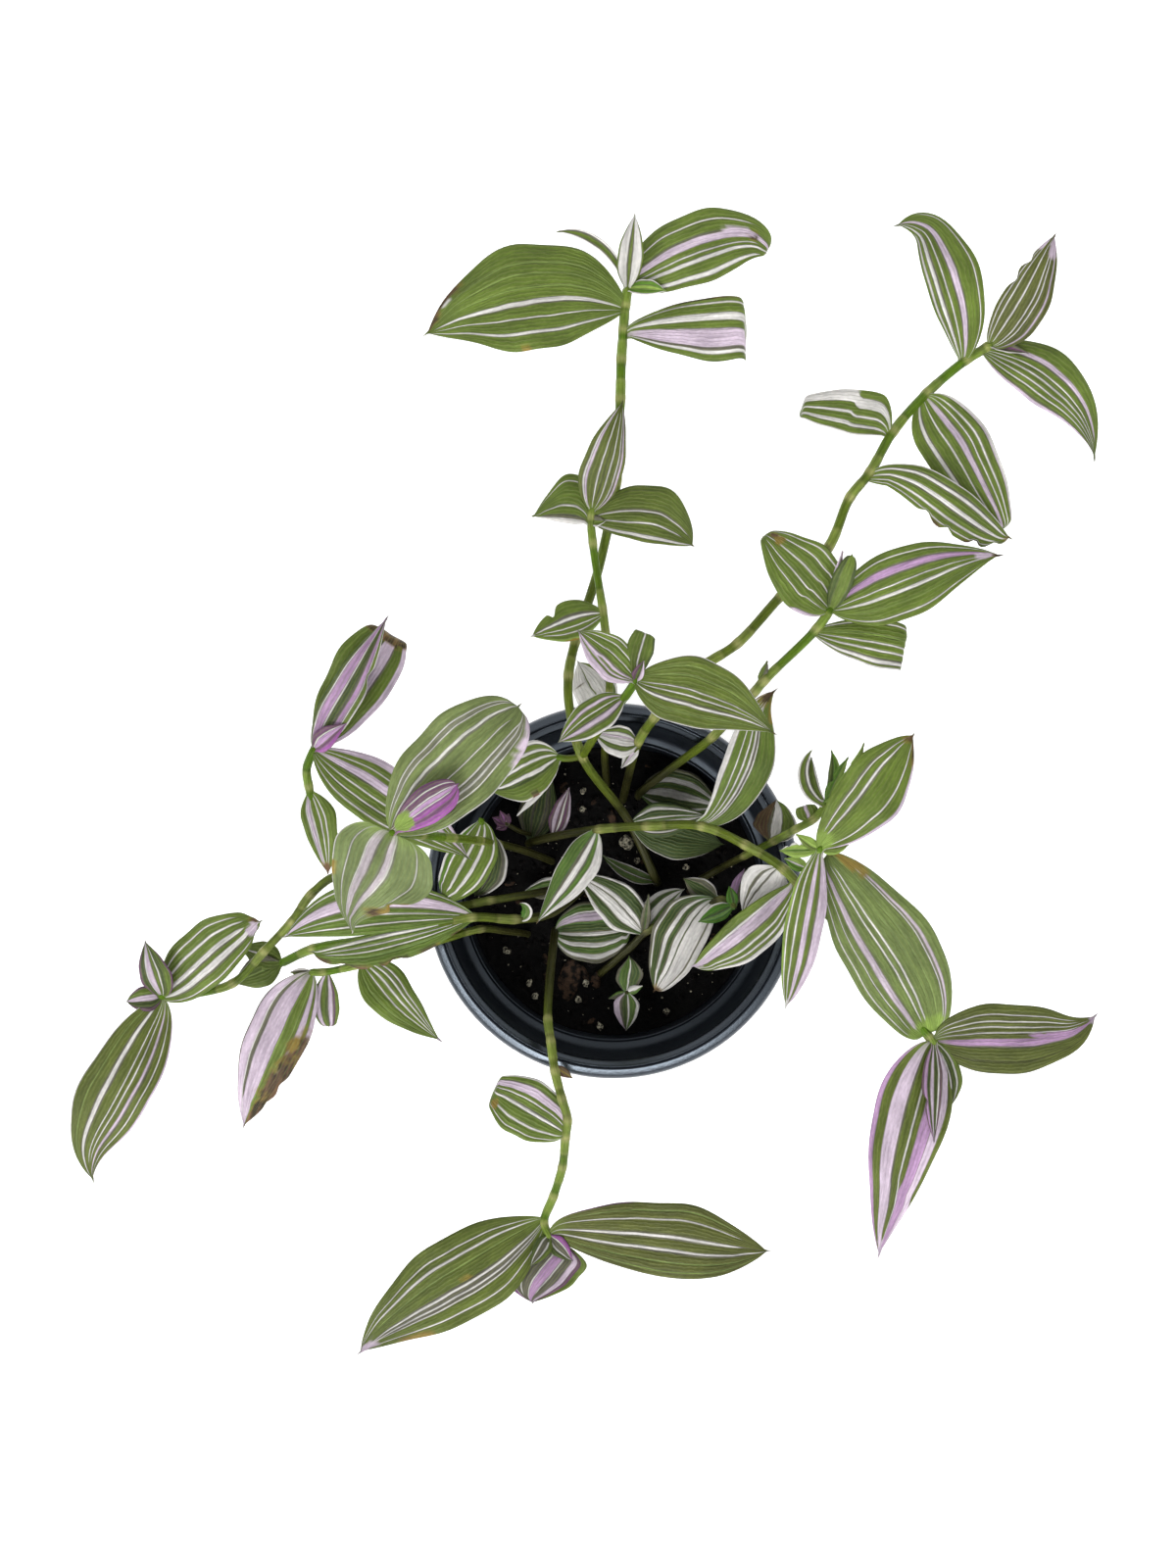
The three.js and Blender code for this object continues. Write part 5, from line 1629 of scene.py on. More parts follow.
        "tipRight": Leaf("tip", (1121, 1033), (12, 0.36, 0.45, 1.0), (12.4, 0.44, 0.6, 0.95), 20, 40, 8,
            "g2.4 w.3 g1.2 w.35 g1 w.35 g1 w.35 g1.2 v1.8 s.3 g3 d.6 g2.4", turn=2, hook=34, tone=0.86,
            olive=0.7, marks="l .97 0 .06 1; v .75 .05 .2 .12"),
        "tipDown": Leaf("tip", (895, 1286), (10.4, 0.26, 0.6, 1.25), (14, 0.3, 0.45, 0.9), 16, 50, 6,
            "g1<.72 l1.6 v2.4 g1.1<.65 w.4 g1.6<.92 s.3 l3 g1.8 v1", turn=6, olive=0.5, tone=1.04,
            marks="l .98 0 .1 1.2"),
        "tipSmallLeft": Leaf("tip", (953, 1167), (4,), (4.6, 0.45), 28, 30, 14,
            "l1.2 p.5 w.4 d.8 l.8 d.6 v.8 p.4", tone=0.92, nicks="R .6 .3 .05"),
        "tipSmallRight": Leaf("tip", (969, 1131), (5, 0.45), (4, 0.4), 22, 40, 14,
            "g1 w.4 d1 w.4 g1.2 w.4 s1", turn=-30, tone=0.92),
    }, (
        Shoot("rise", 1.5, {
            "lift": (826, 884, 140), "tip": (838, 864, 150),
        }, {
            "riseUp": Leaf("tip", (934, 747), (9.8, 0.55, 0.5, 0.72), (10.7, 0.48, 0.85, 0.9), 24, 40, 10,
                "g3 s.4 w.35 g1.6 w.6 s.3 g5 w.4 g2 l.7", turn=4, tone=1.04,
                marks="b .98 -.3 .07 1; b .9 -1 .09 .35; y .02 0 .11 1"),
            "riseDown": Leaf("tip", (801, 1031), (6.6, 0.5, 0.7, 0.7), (6.2, 0.42, 0.6, 0.8), -4, 16, 10,
                "l2.2 s.3 g1 l1.4 g1.6 w.5 g1.4 w.4 y.7", turn=2, marks="w 1 0 .06 1"),
            "riseSmall": Leaf("tip", (866, 862), (2.8,), (2.6,), 0, 30, 10, "h1 y1 g1 y1"),
            "riseLeft": Leaf("tip", (795, 868), (2.6, 0.5), (2.6, 0.5), 0, 10, 14, "y1 h.4 y.8 w.4",
                nicks="R .5 .4 .05; R .75 .4 .04"),
            "riseNotch": Leaf("tip", (812, 851), (2,), (1.8,), 10, 10, 16, "g.5 y1"),
            "riseLow": Leaf("lift", (800, 876), (2.4,), (2.4,), -10, 10, 20, "h1 w.3 y1"),
        }, start="fork"),
    )),
    Shoot("shoot_east_inner", 1.45, {
        "root": (705, 903, 74), "soil": (708, 901, 88), "low": (735, 886, 96), "ring1": (760, 873, 109),
        "ring2": (790, 858, 121), "ring3": (812, 846, 125), "ring4": (830, 836, 127),
        "tip": (846, 818, 129),
    }, {
        "bowl": Leaf("ring2", (792, 815), (7.5,), (7.5,), -6, 0, 4, "b3 s.6 w2.2 g2.4 w.5", tone=0.85,
            turn=24),
        "squareCut": Leaf("ring4", (822, 824), (3.8, 0.5, 0.7, 0.4), (3.8, 0.5, 0.7, 0.4), 5, 0, 5,
            "g2 l.8 g2", bend=(0.7, 80)),
        "ringLeft": Leaf("tip", (829, 765), (1.8, 0.5, 0.6, 0.6), (2, 0.55, 0.6, 0.6), 15, 10, 12,
            "w.6 g1.4 s.4 w.8", turn=-120),
        "ringInner": Leaf("tip", (828, 772), (1.7, 0.5, 0.6, 0.6), (1.7, 0.55, 0.6, 0.6), 8, 10, 12,
            "w.5 g1.4 w.5", turn=-50),
        "hookRight": Leaf("tip", (848, 765), (2.2, 0.5), (2.2, 0.5), 15, 10, 16, "d1 h1 y.5", turn=46),
        "thread": Leaf("tip", (882, 757), (2.2,), (2.4,), 30, 10, 16, "y1 g1", turn=30,
            nicks="R .4 .5 .05; L .6 .6 .05; R .75 .5 .04"),
        "threadLow": Leaf("tip", (866, 772), (2.2,), (2,), 24, 10, 16, "h1 y1", turn=-15,
            nicks="L .5 .6 .06"),
    }),
    Shoot("shoot_centre", 1.55, {
        "root": (612, 994, 74), "soil": (614, 992, 89), "low": (645, 965, 96), "ring1": (660, 950, 99),
        "ring2": (700, 932, 104), "ring3": (736, 918, 108), "tip": (752, 926, 111),
    }, {
        "archedPale": Leaf("ring1", (588, 893), (7.6, 0.4), (7.6, 0.42), 26, 44, 6,
            "w1 d1.8 s.2 w2.2 s.25 w1.2 d2.6 w.8", turn=26, tone=0.9),
        "pointingRight": Leaf("ring1", (699, 907), (5,), (5,), 0, 4, 8, "w1 d1 w1.4 g.6 w1.4", turn=-50,
            tone=0.9),
        "spike": Leaf("ring1", (662, 912), (1.8,), (1.8,), 40, 10, 20, "s1 d.6 s1", tone=0.9),
        "greatWhite": Leaf("ring3", (666, 1013), (5.4, 0.62, 0.6, 0.4), (14, 0.33, 0.5, 0.72), 0, 12, 6,
            "w1.6 s.3 w4 d.25 w1.6 s.4 d1.2 w1.1 s.4 d2.2 w.6 s.8", turn=-6, tone=0.92,
            marks="b 1 0 .07 1.2"),
        "greyBack": Leaf("ring3", (697, 896), (4,), (4,), -4, 4, 6, "s1 d2 s1 w.4", tone=0.85),
        "limeYoung": Leaf("tip", (712, 941), (3.2, 0.45), (3.4, 0.45), 14, 10, 16, "h1 y.8 d.6 h1.4 w.4"),
        "limeUp": Leaf("tip", (744, 904), (2.2,), (2.4,), 24, 10, 24, "h1.4 d.6 h1"),
        "greyStub": Leaf("tip", (760, 886), (3,), (3,), -10, 10, 15, "v1 s1", tone=0.8),
    }),
    Shoot("shoot_south", 1.65, {
        "root": (566, 953, 74), "soil": (566, 953, 96), "low": (561, 1000, 108),
        "ring1": (559, 1040, 116), "ring2": (562, 1062, 120), "ring3": (566, 1092, 121),
        "ring4": (573, 1120, 120), "ring5": (579, 1142, 118), "ring6": (577, 1160, 116),
        "ring7": (574, 1190, 112), "ring8": (565, 1220, 109), "ring9": (555, 1248, 108),
        "tip": (562, 1265, 110),
    }, {
        "rosette": Leaf("soil", (646, 946), (11, 0.45, 0.45, 0.5), (11, 0.45, 0.45, 0.5), 2, 10, 4,
            "s.8 g1.4 w.4 l2 g.6 d1.8 s.3 w.8 d1.6 w1.1 g1.5 w1.2 s.8", turn=12, tone=0.86),
        "deadBit": Leaf("ring3", (584, 1100), (1.8,), (1.6,), -15, 20, 20, "b1 o.4 b1"),
        "roundLeft": Leaf("ring6", (507, 1114), (10, 0.5, 0.4, 0.5), (10, 0.46, 0.4, 0.45), 10, 14, 6,
            "g1.4 w.3 g2 w.7 g3 w.9 s.3 g1.8 w.4 g1 l2.4 s.3 g1.6 w.5", turn=10, bend=(0.86, 76),
            marks="o .82 .6 .04 .3"),
        "longLeft": Leaf("ring9", (363, 1383), (13.8, 0.36, 0.65, 1.2), (15.4, 0.48, 0.7, 0.78), 20, 46,
            6, "g2.6 w.35 g2.4 w.35 s.6 w.5 s.8 w.65 s.4 g3.4 y.2 g2 w.65 g1.4 w.35 g3", turn=4,
            olive=0.5, tone=0.94,
            marks="l .98 .3 .12 .7; b .74 1.02 .05 .2; o .7 1 .08 .22; o .4 .1 .02 .04; o .33 -.1 .02 "
                  ".04"),
        "longRight": Leaf("tip", (789, 1276), (15.4, 0.52, 0.45, 0.9), (9.8, 0.6, 0.9, 0.72), 22, 44, 6,
            "p.4<.4 g1.8 y.2 g2 w.4 g3.4 s.3 w.75 s.3 g2.4 w.75 s.4 g2 y.2 g2 y.25 g1.4", turn=0,
            tone=0.92, olive=0.8, marks="w 1 0 .03 1"),
        "curled": Leaf("tip", (543, 1331), (15, 0.3, 0.8, 0.9), (13, 0.6, 0.9, 0.6), 20, 26, -4,
            "g1 p.6 l1 s1.2 w.3 v1.6 w.3 s1.4 w.35 s1.2 w.3 m1.4 s.5", tone=0.86),
        "heart": Leaf("tip", (541, 1292), (3.6,), (3.4,), 36, 30, 26, "g1 w.4 s1 w.4 d1", tone=0.85),
        "heartRight": Leaf("tip", (585, 1287), (3.6,), (3.4,), 30, 40, 26, "m1 w.3 s1 w.4 d1", tone=0.85),
    }),
    Shoot("shoot_west_low", 1.45, {
        "root": (540, 955, 74), "soil": (538, 953, 88), "low": (515, 950, 103), "ring1": (490, 948, 113),
        "overRim": (455, 958, 120), "ring2": (420, 970, 119), "ring3": (365, 985, 112),
        "ring4": (330, 992, 109), "tip": (314, 992, 109),
    }, {
        "plain": Leaf("ring3", (452, 1064), (8.4, 0.26, 0.45, 1.15), (7.8, 0.34, 0.55, 1.1), 12, 28, 7,
            "g1.8 w.4 g.8 w.5 g1 w.6 g1.2 w.4 g2 y.2 g2.4", turn=6, marks="l .98 0 .05 1"),
        "scorched": Leaf("tip", (248, 1152), (10.4, 0.36, 0.6, 0.95), (11.3, 0.32, 0.6, 0.95), 6, 46, 8,
            "l.8 g.6 l1 g.5 y.2 g1.3 y.25 l3 s.6<.8 w.2 l1.6 s.15", turn=6,
            nicks="L .62 .14 .04; L .75 .12 .03",
            marks="b .46 .85 .16 .42; o .38 .6 .06 .22; b .66 .8 .22 .5; b .86 .75 .12 .5"),
        "curledSmall": Leaf("ring4", (336, 1048), (4.8, 0.5, 0.7, 0.3), (4.4, 0.5, 0.7, 0.3), -5, 40, 16,
            "g.8 p.5 l1 d.6 g1 l1 g.6", tone=0.92, turn=14),
        "rollOver": Leaf("tip", (296, 992), (1.6, 0.5), (1.6, 0.5), 10, 10, 24, "g1 s.6 w.6", tone=0.95),
    }),
    Shoot("shoot_west", 1.75, {
        "root": (596, 905, 74), "soil": (594, 907, 92), "low": (562, 932, 106), "ring1": (525, 938, 114),
        "ring2": (481, 936, 120), "ring3": (430, 947, 121), "ring4": (380, 958, 116),
        "ring5": (320, 968, 107), "tip": (285, 984, 100),
    }, {
        "matUpper": Leaf("ring2", (286, 957), (4.2, 0.5), (13.4, 0.56, 0.75, 0.8), 20, 36, 5,
            "g2 w.4 g1.8 w.4 g1.2 s.3 l3.2 s.3 g1.6 w.4 g1", turn=16, tone=1.08),
        "matLower": Leaf("ring2", (314, 972), (8, 0.6, 0.8, 0.5), (3.4, 0.5), 14, 26, 5,
            "g3 y.2 g1 w.35 g1 w.35 g1 w.9 g1", turn=-12, nicks="L .5 .2 .04; L .62 .12 .03; L .8 .2 .05",
            marks="b .5 1 .08 .15; b .3 1 .05 .18; b .93 .75 .05 .35; b .74 1 .08 .13; b .13 1 .03 .25"),
        "frill": Leaf("ring1", (530, 922), (2.4, 0.5), (2, 0.5), 14, 10, 30, "h1 g1 w.6", turn=190),
        "tucked": Leaf("tip", (238, 1003), (5.5,), (5.5,), -8, 18, 8, "g2 y.2 g1 s1", tone=0.85),
        "tuckedUp": Leaf("tip", (246, 968), (5,), (5,), -10, 14, 10, "g2 w.4 g2", turn=12, tone=0.9),
    }),
    Shoot("shoot_north_west", 1.6, {
        "root": (578, 903, 74), "soil": (576, 904, 92), "low": (548, 911, 106), "ring1": (500, 919, 114),
        "ring2": (450, 927, 119), "ring3": (410, 925, 120), "ring4": (375, 905, 122),
        "ring5": (345, 875, 128), "ring6": (324, 838, 134), "ring7": (315, 802, 138),
        "neck": (313, 784, 142), "tip": (322, 761, 147),
    }, {
        "tinyPale": Leaf("soil", (533, 911), (4,), (4,), 6, 10, 8, "s1 w1.4 g1 w.6", tone=0.85),
        "brownTipped": Leaf("ring7", (335, 893), (6.4, 0.34), (5.2, 0.34), 0, 30, 12,
            "g3 w.4 g1 w.4 g1.4 w.4 l1 w.4 g1.6", turn=-14, marks="b .97 0 .13 1.2"),
        "underRight": Leaf("tip", (482, 878), (11, 0.4), (9.5, 0.35, 0.6, 1.1), 0, 30, 6,
            "l1.6 g1.2 w.3 g1 l1.8 s.3 g1.4 w.4 g1.5 w.4 g1.6 w.4 g1.4", turn=4),
        "lilacUpright": Leaf("tip", (397, 627), (5.6, 0.34, 0.6, 0.9), (7, 0.42, 0.6, 0.95), 34, 34, 20,
            "d.8 w.3 v2.2 w.4 d1.6 s.6 v1.4 w.3 g1 w.4", turn=4, tone=0.95, nicks="R .62 .25 .05"),
        "brokenBack": Leaf("tip", (396, 650), (11, 0.66, 0.7, 0.4), (10.5, 0.66, 0.7, 0.4), 16, 16, 10,
            "g2.2 w.4 g2 d.6 l2.4 s.3 g1.8 l1", turn=6, bend=(0.9, 78), tone=0.96,
            marks="b .91 0 .04 1.4; b 1 0 .09 1.4"),
        "purpleCurl": Leaf("tip", (354, 738), (3.8,), (3.6,), 50, 40, 20, "p1 w.3 v1 p.5 m1"),
    }, (
        Shoot("far", 1.7, {
            "out": (345, 894, 123), "ring1": (318, 912, 119), "ring2": (298, 940, 114),
            "ring3": (270, 970, 108), "ring4": (238, 1003, 103), "ring5": (198, 1014, 101),
            "tip": (160, 1017, 103),
        }, {
            "backAlong": Leaf("tip", (269, 938), (11.8, 0.52, 0.45, 0.42), (8.8, 0.36, 0.5, 0.6), 22, 30,
                6, "g1.8 w.4 g1.8 w.7 g2 w1.2 s.3 g1 w1.5 s.4 g1.6 w.3 g1", turn=0,
                nicks="R .9 .3 .05; L .95 .3 .03", marks="b .97 .25 .05 .5; l .9 -.5 .06 .5"),
            "greatDown": Leaf("tip", (96, 1208), (12.6, 0.36, 0.5, 1.15), (12.6, 0.5, 0.7, 0.85), 14, 50,
                6, "l.4 g1.4 w.3 g1.2 s.3 l.7 g1.2 w.35 g1 w.3 g2.2 s.3 w1 s.3 g2 y.2 g2.2 w.25", turn=-4,
                hook=26, tone=0.94, olive=0.6),
            "youngUp": Leaf("tip", (148, 959), (4.6, 0.4), (7, 0.42, 0.5), 46, 40, 20,
                "p.6 d1 w.3 l1.2 g1 w.4 d1 g1.2 p.5", tone=0.86),
            "youngLeft": Leaf("tip", (129, 1022), (4.6, 0.4, 0.5), (4.6, 0.4, 0.5), 24, 50, 15,
                "p.6 d1 l1 g1 p.4", tone=0.88),
        }, start="ring4"),
    )),
    Shoot("shoot_west_inner", 1.55, {
        "root": (563, 880, 74), "soil": (561, 878, 90), "low": (535, 868, 101), "ring1": (508, 861, 114),
        "ring2": (490, 858, 134), "ring3": (462, 855, 156), "ring4": (430, 852, 173),
        "tip": (397, 849, 184),
    }, {
        "tallRight": Leaf("tip", (533, 717), (15, 0.52, 0.55, 0.42), (13.4, 0.56, 0.6, 0.36), 16, 30, 8,
            "g2.6 w.3 s.8 w.3 g1.8 w.7 s.4 g3.2 w.3 g2.4 w.4 s.7 w.5 s.8 w.3 g2.8 w.25", turn=2,
            tone=1.06, olive=0.3, haze=0.25, marks="l .86 -1 .15 .24"),
        "tallDown": Leaf("tip", (359, 953), (17, 0.33, 0.18, 2.2), (14, 0.25, 0.2, 0.9), 2, 50, 6,
            "g3.4 w.3 g4.6 s.3 w.4 l1.2 s.4 g1.4 s.3 l1.7 w.3 g2.2 w.3 g2.6 w.25", turn=2, tone=1.06,
            haze=0.35, nicks="L .55 .3 .05",
            marks="b .68 .85 .05 .45; o .6 1 .08 .3; o .5 1 .03 .12; b .47 -1 .03 .12; o .48 -1 .07 "
                  ".12; w 1 0 .06 1; b 1 -1 .05 1"),
        "magenta": Leaf("tip", (469, 799), (5.4, 0.6, 0.8, 0.45), (6.2, 0.66, 0.9, 0.45), 34, 34, 14,
            "p1.2 w.3 p1.2 w.3 v1 w.3 m1.4 p.5 m1.6", turn=-6, marks="y .2 0 .14 1"),
    }, (
        Shoot("inner", 1.3, {
            "bend": (497, 848, 119), "tip": (489, 834, 121),
        }, {
            "brightStriped": Leaf("tip", (452, 920), (8.4, 0.45, 0.5, 0.6), (8.2, 0.55, 0.6, 0.5), 10, 18,
                6, "g.9 w.5 g2 w.8 g1.6 w.7 g2 w.4 h1 w.6", turn=-34, tone=1.05),
            "darkStriped": Leaf("bend", (484, 915), (7.6, 0.5, 0.5, 0.6), (7, 0.5, 0.5, 0.6), -12, 8, 5,
                "w.6 s.8 d1.6 s.5 d1.6 s.8 d2 s.5", turn=-22, tone=0.72),
        }, start="ring1"),
    )),
    Shoot("shoot_bud", 0.95, {
        "root": (544, 852, 74), "soil": (544, 852, 92), "bend": (530, 848, 98), "tip": (514, 839, 102),
    }, {
        "budOuter": Leaf("tip", (502, 834), (2.4,), (2.2,), 20, 0, 34, "p1 m.5 p1"),
        "budInner": Leaf("tip", (510, 827), (2,), (2,), 30, 0, 34, "p1 m.6 p1"),
        "budLow": Leaf("tip", (506, 846), (2,), (2,), 10, 0, 30, "p1 v.4 p1"),
        "budRight": Leaf("tip", (519, 830), (1.6,), (1.6,), 30, 0, 30, "p1 d.4 p1"),
    }),
    Shoot("shoot_plantlet", 0.9, {
        "root": (639, 1014, 74), "soil": (639, 1014, 92), "tip": (640, 1012, 97),
    }, {
        "up": Leaf("tip", (642, 975), (4.6, 0.4, 0.7, 1.0), (5, 0.5, 0.8, 0.9), 14, 20, 16,
            "s.5 g1.4 w.3 d1.4 s.5", turn=10, tone=0.95),
        "down": Leaf("tip", (639, 1052), (4.6, 0.36), (4.8, 0.34), 8, 24, 14, "w.7 g1.1 w.4 d1 s.4 l1.2",
            tone=0.92),
        "right": Leaf("tip", (656, 1006), (1.6,), (1.6,), 20, 10, 14, "w1 g.6"),
        "left": Leaf("tip", (621, 1019), (1.4,), (1.4,), 0, 20, 14, "s1 g.6"),
    }),
)


# ---------------------------------------------------------------- pot


def rounded_corners(corners: np.ndarray, radii: np.ndarray, steps: int) -> np.ndarray:
    """A profile with its corners cut to curves.

    Each corner becomes a quadratic curve from a point on the side before it to one on the side
    after, each as far from the corner as its radius, or almost half of the side if that is less.

    Args:
        corners: the profile's corners.
        radii: how far each curve reaches.
        steps: points on each curve.

    Returns:
        The smoother profile, with its first and last corners kept.
    """
    almost_half = 0.45
    before, here, after = corners[:-2], corners[1:-1], corners[2:]
    back, ahead = before - here, after - here
    back_run, ahead_run = np.linalg.norm(back, axis=1), np.linalg.norm(ahead, axis=1)
    reach = np.minimum(radii[1:-1], np.minimum(back_run, ahead_run) * almost_half)[:, None]
    start, end = here + back / back_run[:, None] * reach, here + ahead / ahead_run[:, None] * reach
    part = np.linspace(0, 1, steps)[None, :, None]
    curve = (1 - part) ** 2 * start[:, None] + 2 * part * (1 - part) * here[:, None] + part**2 * end[:, None]
    return np.vstack([corners[:1], curve.reshape(-1, 2), corners[-1:]])


@dataclass
class Pot:
    """The round nursery pot: one moulding with a rolled rim, a collar, a stacking step and a base."""

    height: float = 115.0
    rim_radius: float = 63.5
    wall: float = 1.2
    skirt_drop: float = 8.0
    collar_top: float = 58.6
    collar_foot: float = 56.0
    collar_depth: float = 21.0
    step_drop: float = 2.0
    shoulder: float = 51.4
    base_radius: float = 45.0
    floor: float = 2.4
    around: int = 144
    corner_steps: int = 7
    drain_holes: int = 8
    drain_radius: float = 4.0
    drain_circle: float = 35.0
    drain_around: int = 24
    drill_span: Pair = (-6.0, 10.0)  # heights that a drill reaches
    sharp: float = 50.0           # degrees past which an edge isn't shaded smooth

    def inner_radius(self, height: float) -> float:
        """Radius of the wall's inside below the stacking step, a straight taper.

        Args:
            height: where, in millimetres above the floor that the pot stands on.

        Returns:
            Millimetres.
        """
        top = self.height - self.collar_depth - self.step_drop
        share = (height - self.floor) / (top - self.floor)
        return blended(self.base_radius - self.wall, self.shoulder, share)

    def profile(self) -> np.ndarray:
        """The pot's section, from the middle of its underside round to the middle of its floor.

        Returns:
            Radius and height of each point, in millimetres.
        """
        step_top = self.height - self.collar_depth
        step_foot = step_top - self.step_drop
        skirt_foot = self.height - self.skirt_drop
        corners = {   # radius, height and how far the corner's curve reaches
            "underside": (0.0, 0.0, 0.0),
            "foot_inner": (self.base_radius - 3.5, 0.0, 0.6),
            "foot": (self.base_radius - 2.0, 0.0, 0.6),
            "heel": (self.base_radius, 1.5, 1.2),
            "below_step": (self.shoulder + self.wall, step_foot - self.wall, 1.2),
            "collar_foot": (self.collar_foot + self.wall, step_top - self.wall, 1.2),
            "collar_top": (self.collar_top + self.wall, self.height - self.wall - 1.0, 1.0),
            "under_rim": (self.rim_radius - self.wall, self.height - self.wall - 0.6, 1.5),
            "skirt_inside": (self.rim_radius - self.wall - 0.2, skirt_foot + 0.3, 0.3),
            "skirt_foot": (self.rim_radius - 0.3, skirt_foot, 0.4),
            "skirt": (self.rim_radius, skirt_foot + 1.0, 0.5),
            "rim_side": (self.rim_radius, self.height - 3.6, 1.2),
            "rim_turn": (self.rim_radius - 0.5, self.height - 1.9, 0.6),
            "rim_outer": (self.rim_radius - 1.5, self.height - 1.0, 0.3),
            "bead": (self.rim_radius - 3.5, self.height - 0.07, 0.25),
            "groove": (self.rim_radius - 3.95, self.height - 0.75, 0.2),
            "rim_inner": (self.rim_radius - 4.3, self.height - 0.1, 0.3),
            "lip": (self.collar_top, self.height - 0.8, 0.3),
            "mouth": (self.collar_top - 1.4, self.height - 2.0, 0.6),
            "above_step": (self.collar_foot + 0.6, step_top + 8.0, 3.0),
            "cove": (self.collar_foot - 0.6, step_top + 1.2, 1.6),
            "ledge": (self.shoulder + 1.3, step_top - 0.5, 0.5),
            "ledge_ridge": (self.shoulder + 0.7, step_top + 0.3, 0.4),
            "ledge_edge": (self.shoulder + 0.1, step_top - 0.3, 0.4),
            "step_foot": (self.shoulder, step_foot, 0.7),
            "floor_edge": (self.inner_radius(self.floor), self.floor, 1.5),
            "floor": (0.0, self.floor, 0.0),
        }
        table = np.array(list(corners.values()))
        return rounded_corners(table[:, :2], table[:, 2], self.corner_steps)

    def surface(self) -> Surface:
        """The section turned about the pot's axis, with one point at each end of the section.

        Returns:
            The closed surface.
        """
        section = self.profile()
        rings = circles(section[1:-1, 0], section[1:-1, 1], self.around)
        return spindle(rings, circles(section[[0, -1], 0], section[[0, -1], 1], 1)[:, 0])

    def drilled(self, obj: bpy.types.Object) -> bpy.types.Object:
        """Cuts the drain holes through the floor.

        Args:
            obj: the turned pot.

        Returns:
            The same object with its holes.
        """
        ends = np.array(self.drill_span)
        drill = circles(np.full(2, self.drain_radius), ends, self.drain_around)
        axis = circles(np.zeros(2), ends, 1)[:, 0]
        drills = []
        for angle in turns(self.drain_holes) + math.pi / self.drain_holes:
            middle = self.drain_circle * np.array([math.cos(angle), math.sin(angle), 0.0])
            drills.append(spindle(drill + middle, axis + middle))
        cutter = mesh_object("drain_drills", joined(drills), obj.data.materials[0])
        cut = obj.modifiers.new("drain_holes", "BOOLEAN")
        cut.operation, cut.object, cut.solver = "DIFFERENCE", cutter, "EXACT"
        seen = obj.evaluated_get(bpy.context.evaluated_depsgraph_get())
        bored = bpy.data.meshes.new_from_object(seen)
        obj.modifiers.clear()
        obj.data = bored
        bpy.data.objects.remove(cutter)
        return obj

    def build(self, plastic: bpy.types.Material) -> None:
        """Makes the pot, which stands for its solid.

        Args:
            plastic: its finish.
        """
        pot = self.drilled(mesh_object("nursery_pot", self.surface(), plastic))
        pot.data.set_sharp_from_angle(angle=math.radians(self.sharp))
        dress(pot, "pot", "pot")


# ---------------------------------------------------------------- potting mix


@dataclass(frozen=True)
class Grains:
    """One kind of grain. Sizes are halves, in millimetres."""

    rows: int                     # rings between a grain's poles
    columns: int                  # points round it
    pitted: float                 # how deep its surface is dented, as a share of its size
    count: int = 0                # how many are strewn
    size: Pair = (0.0, 0.0)       # least and most
    stretch: tuple[float, ...] = (0.0, 0.0)  # least and most of each side, or the three sides
    lift: float = 0.0             # how far the middles lie above the surface


CRUMBS = Grains(3, 6, 0.5, 620, (0.35, 1.1), (0.6, 1.4), 0.1)
SPECKS = Grains(3, 6, 0.4, 200, (0.1, 0.4), (0.7, 1.3), 0.15)
GRANULES = Grains(14, 22, 0.28, stretch=(0.55, 0.9), lift=0.25)   # this lift is a share of the radius
SCRAPS = Grains(5, 8, 0.35, 26, (0.8, 2.0), (1.3, 0.7, 0.4), 0.2)
CHIPS = Grains(12, 20, 0.22)


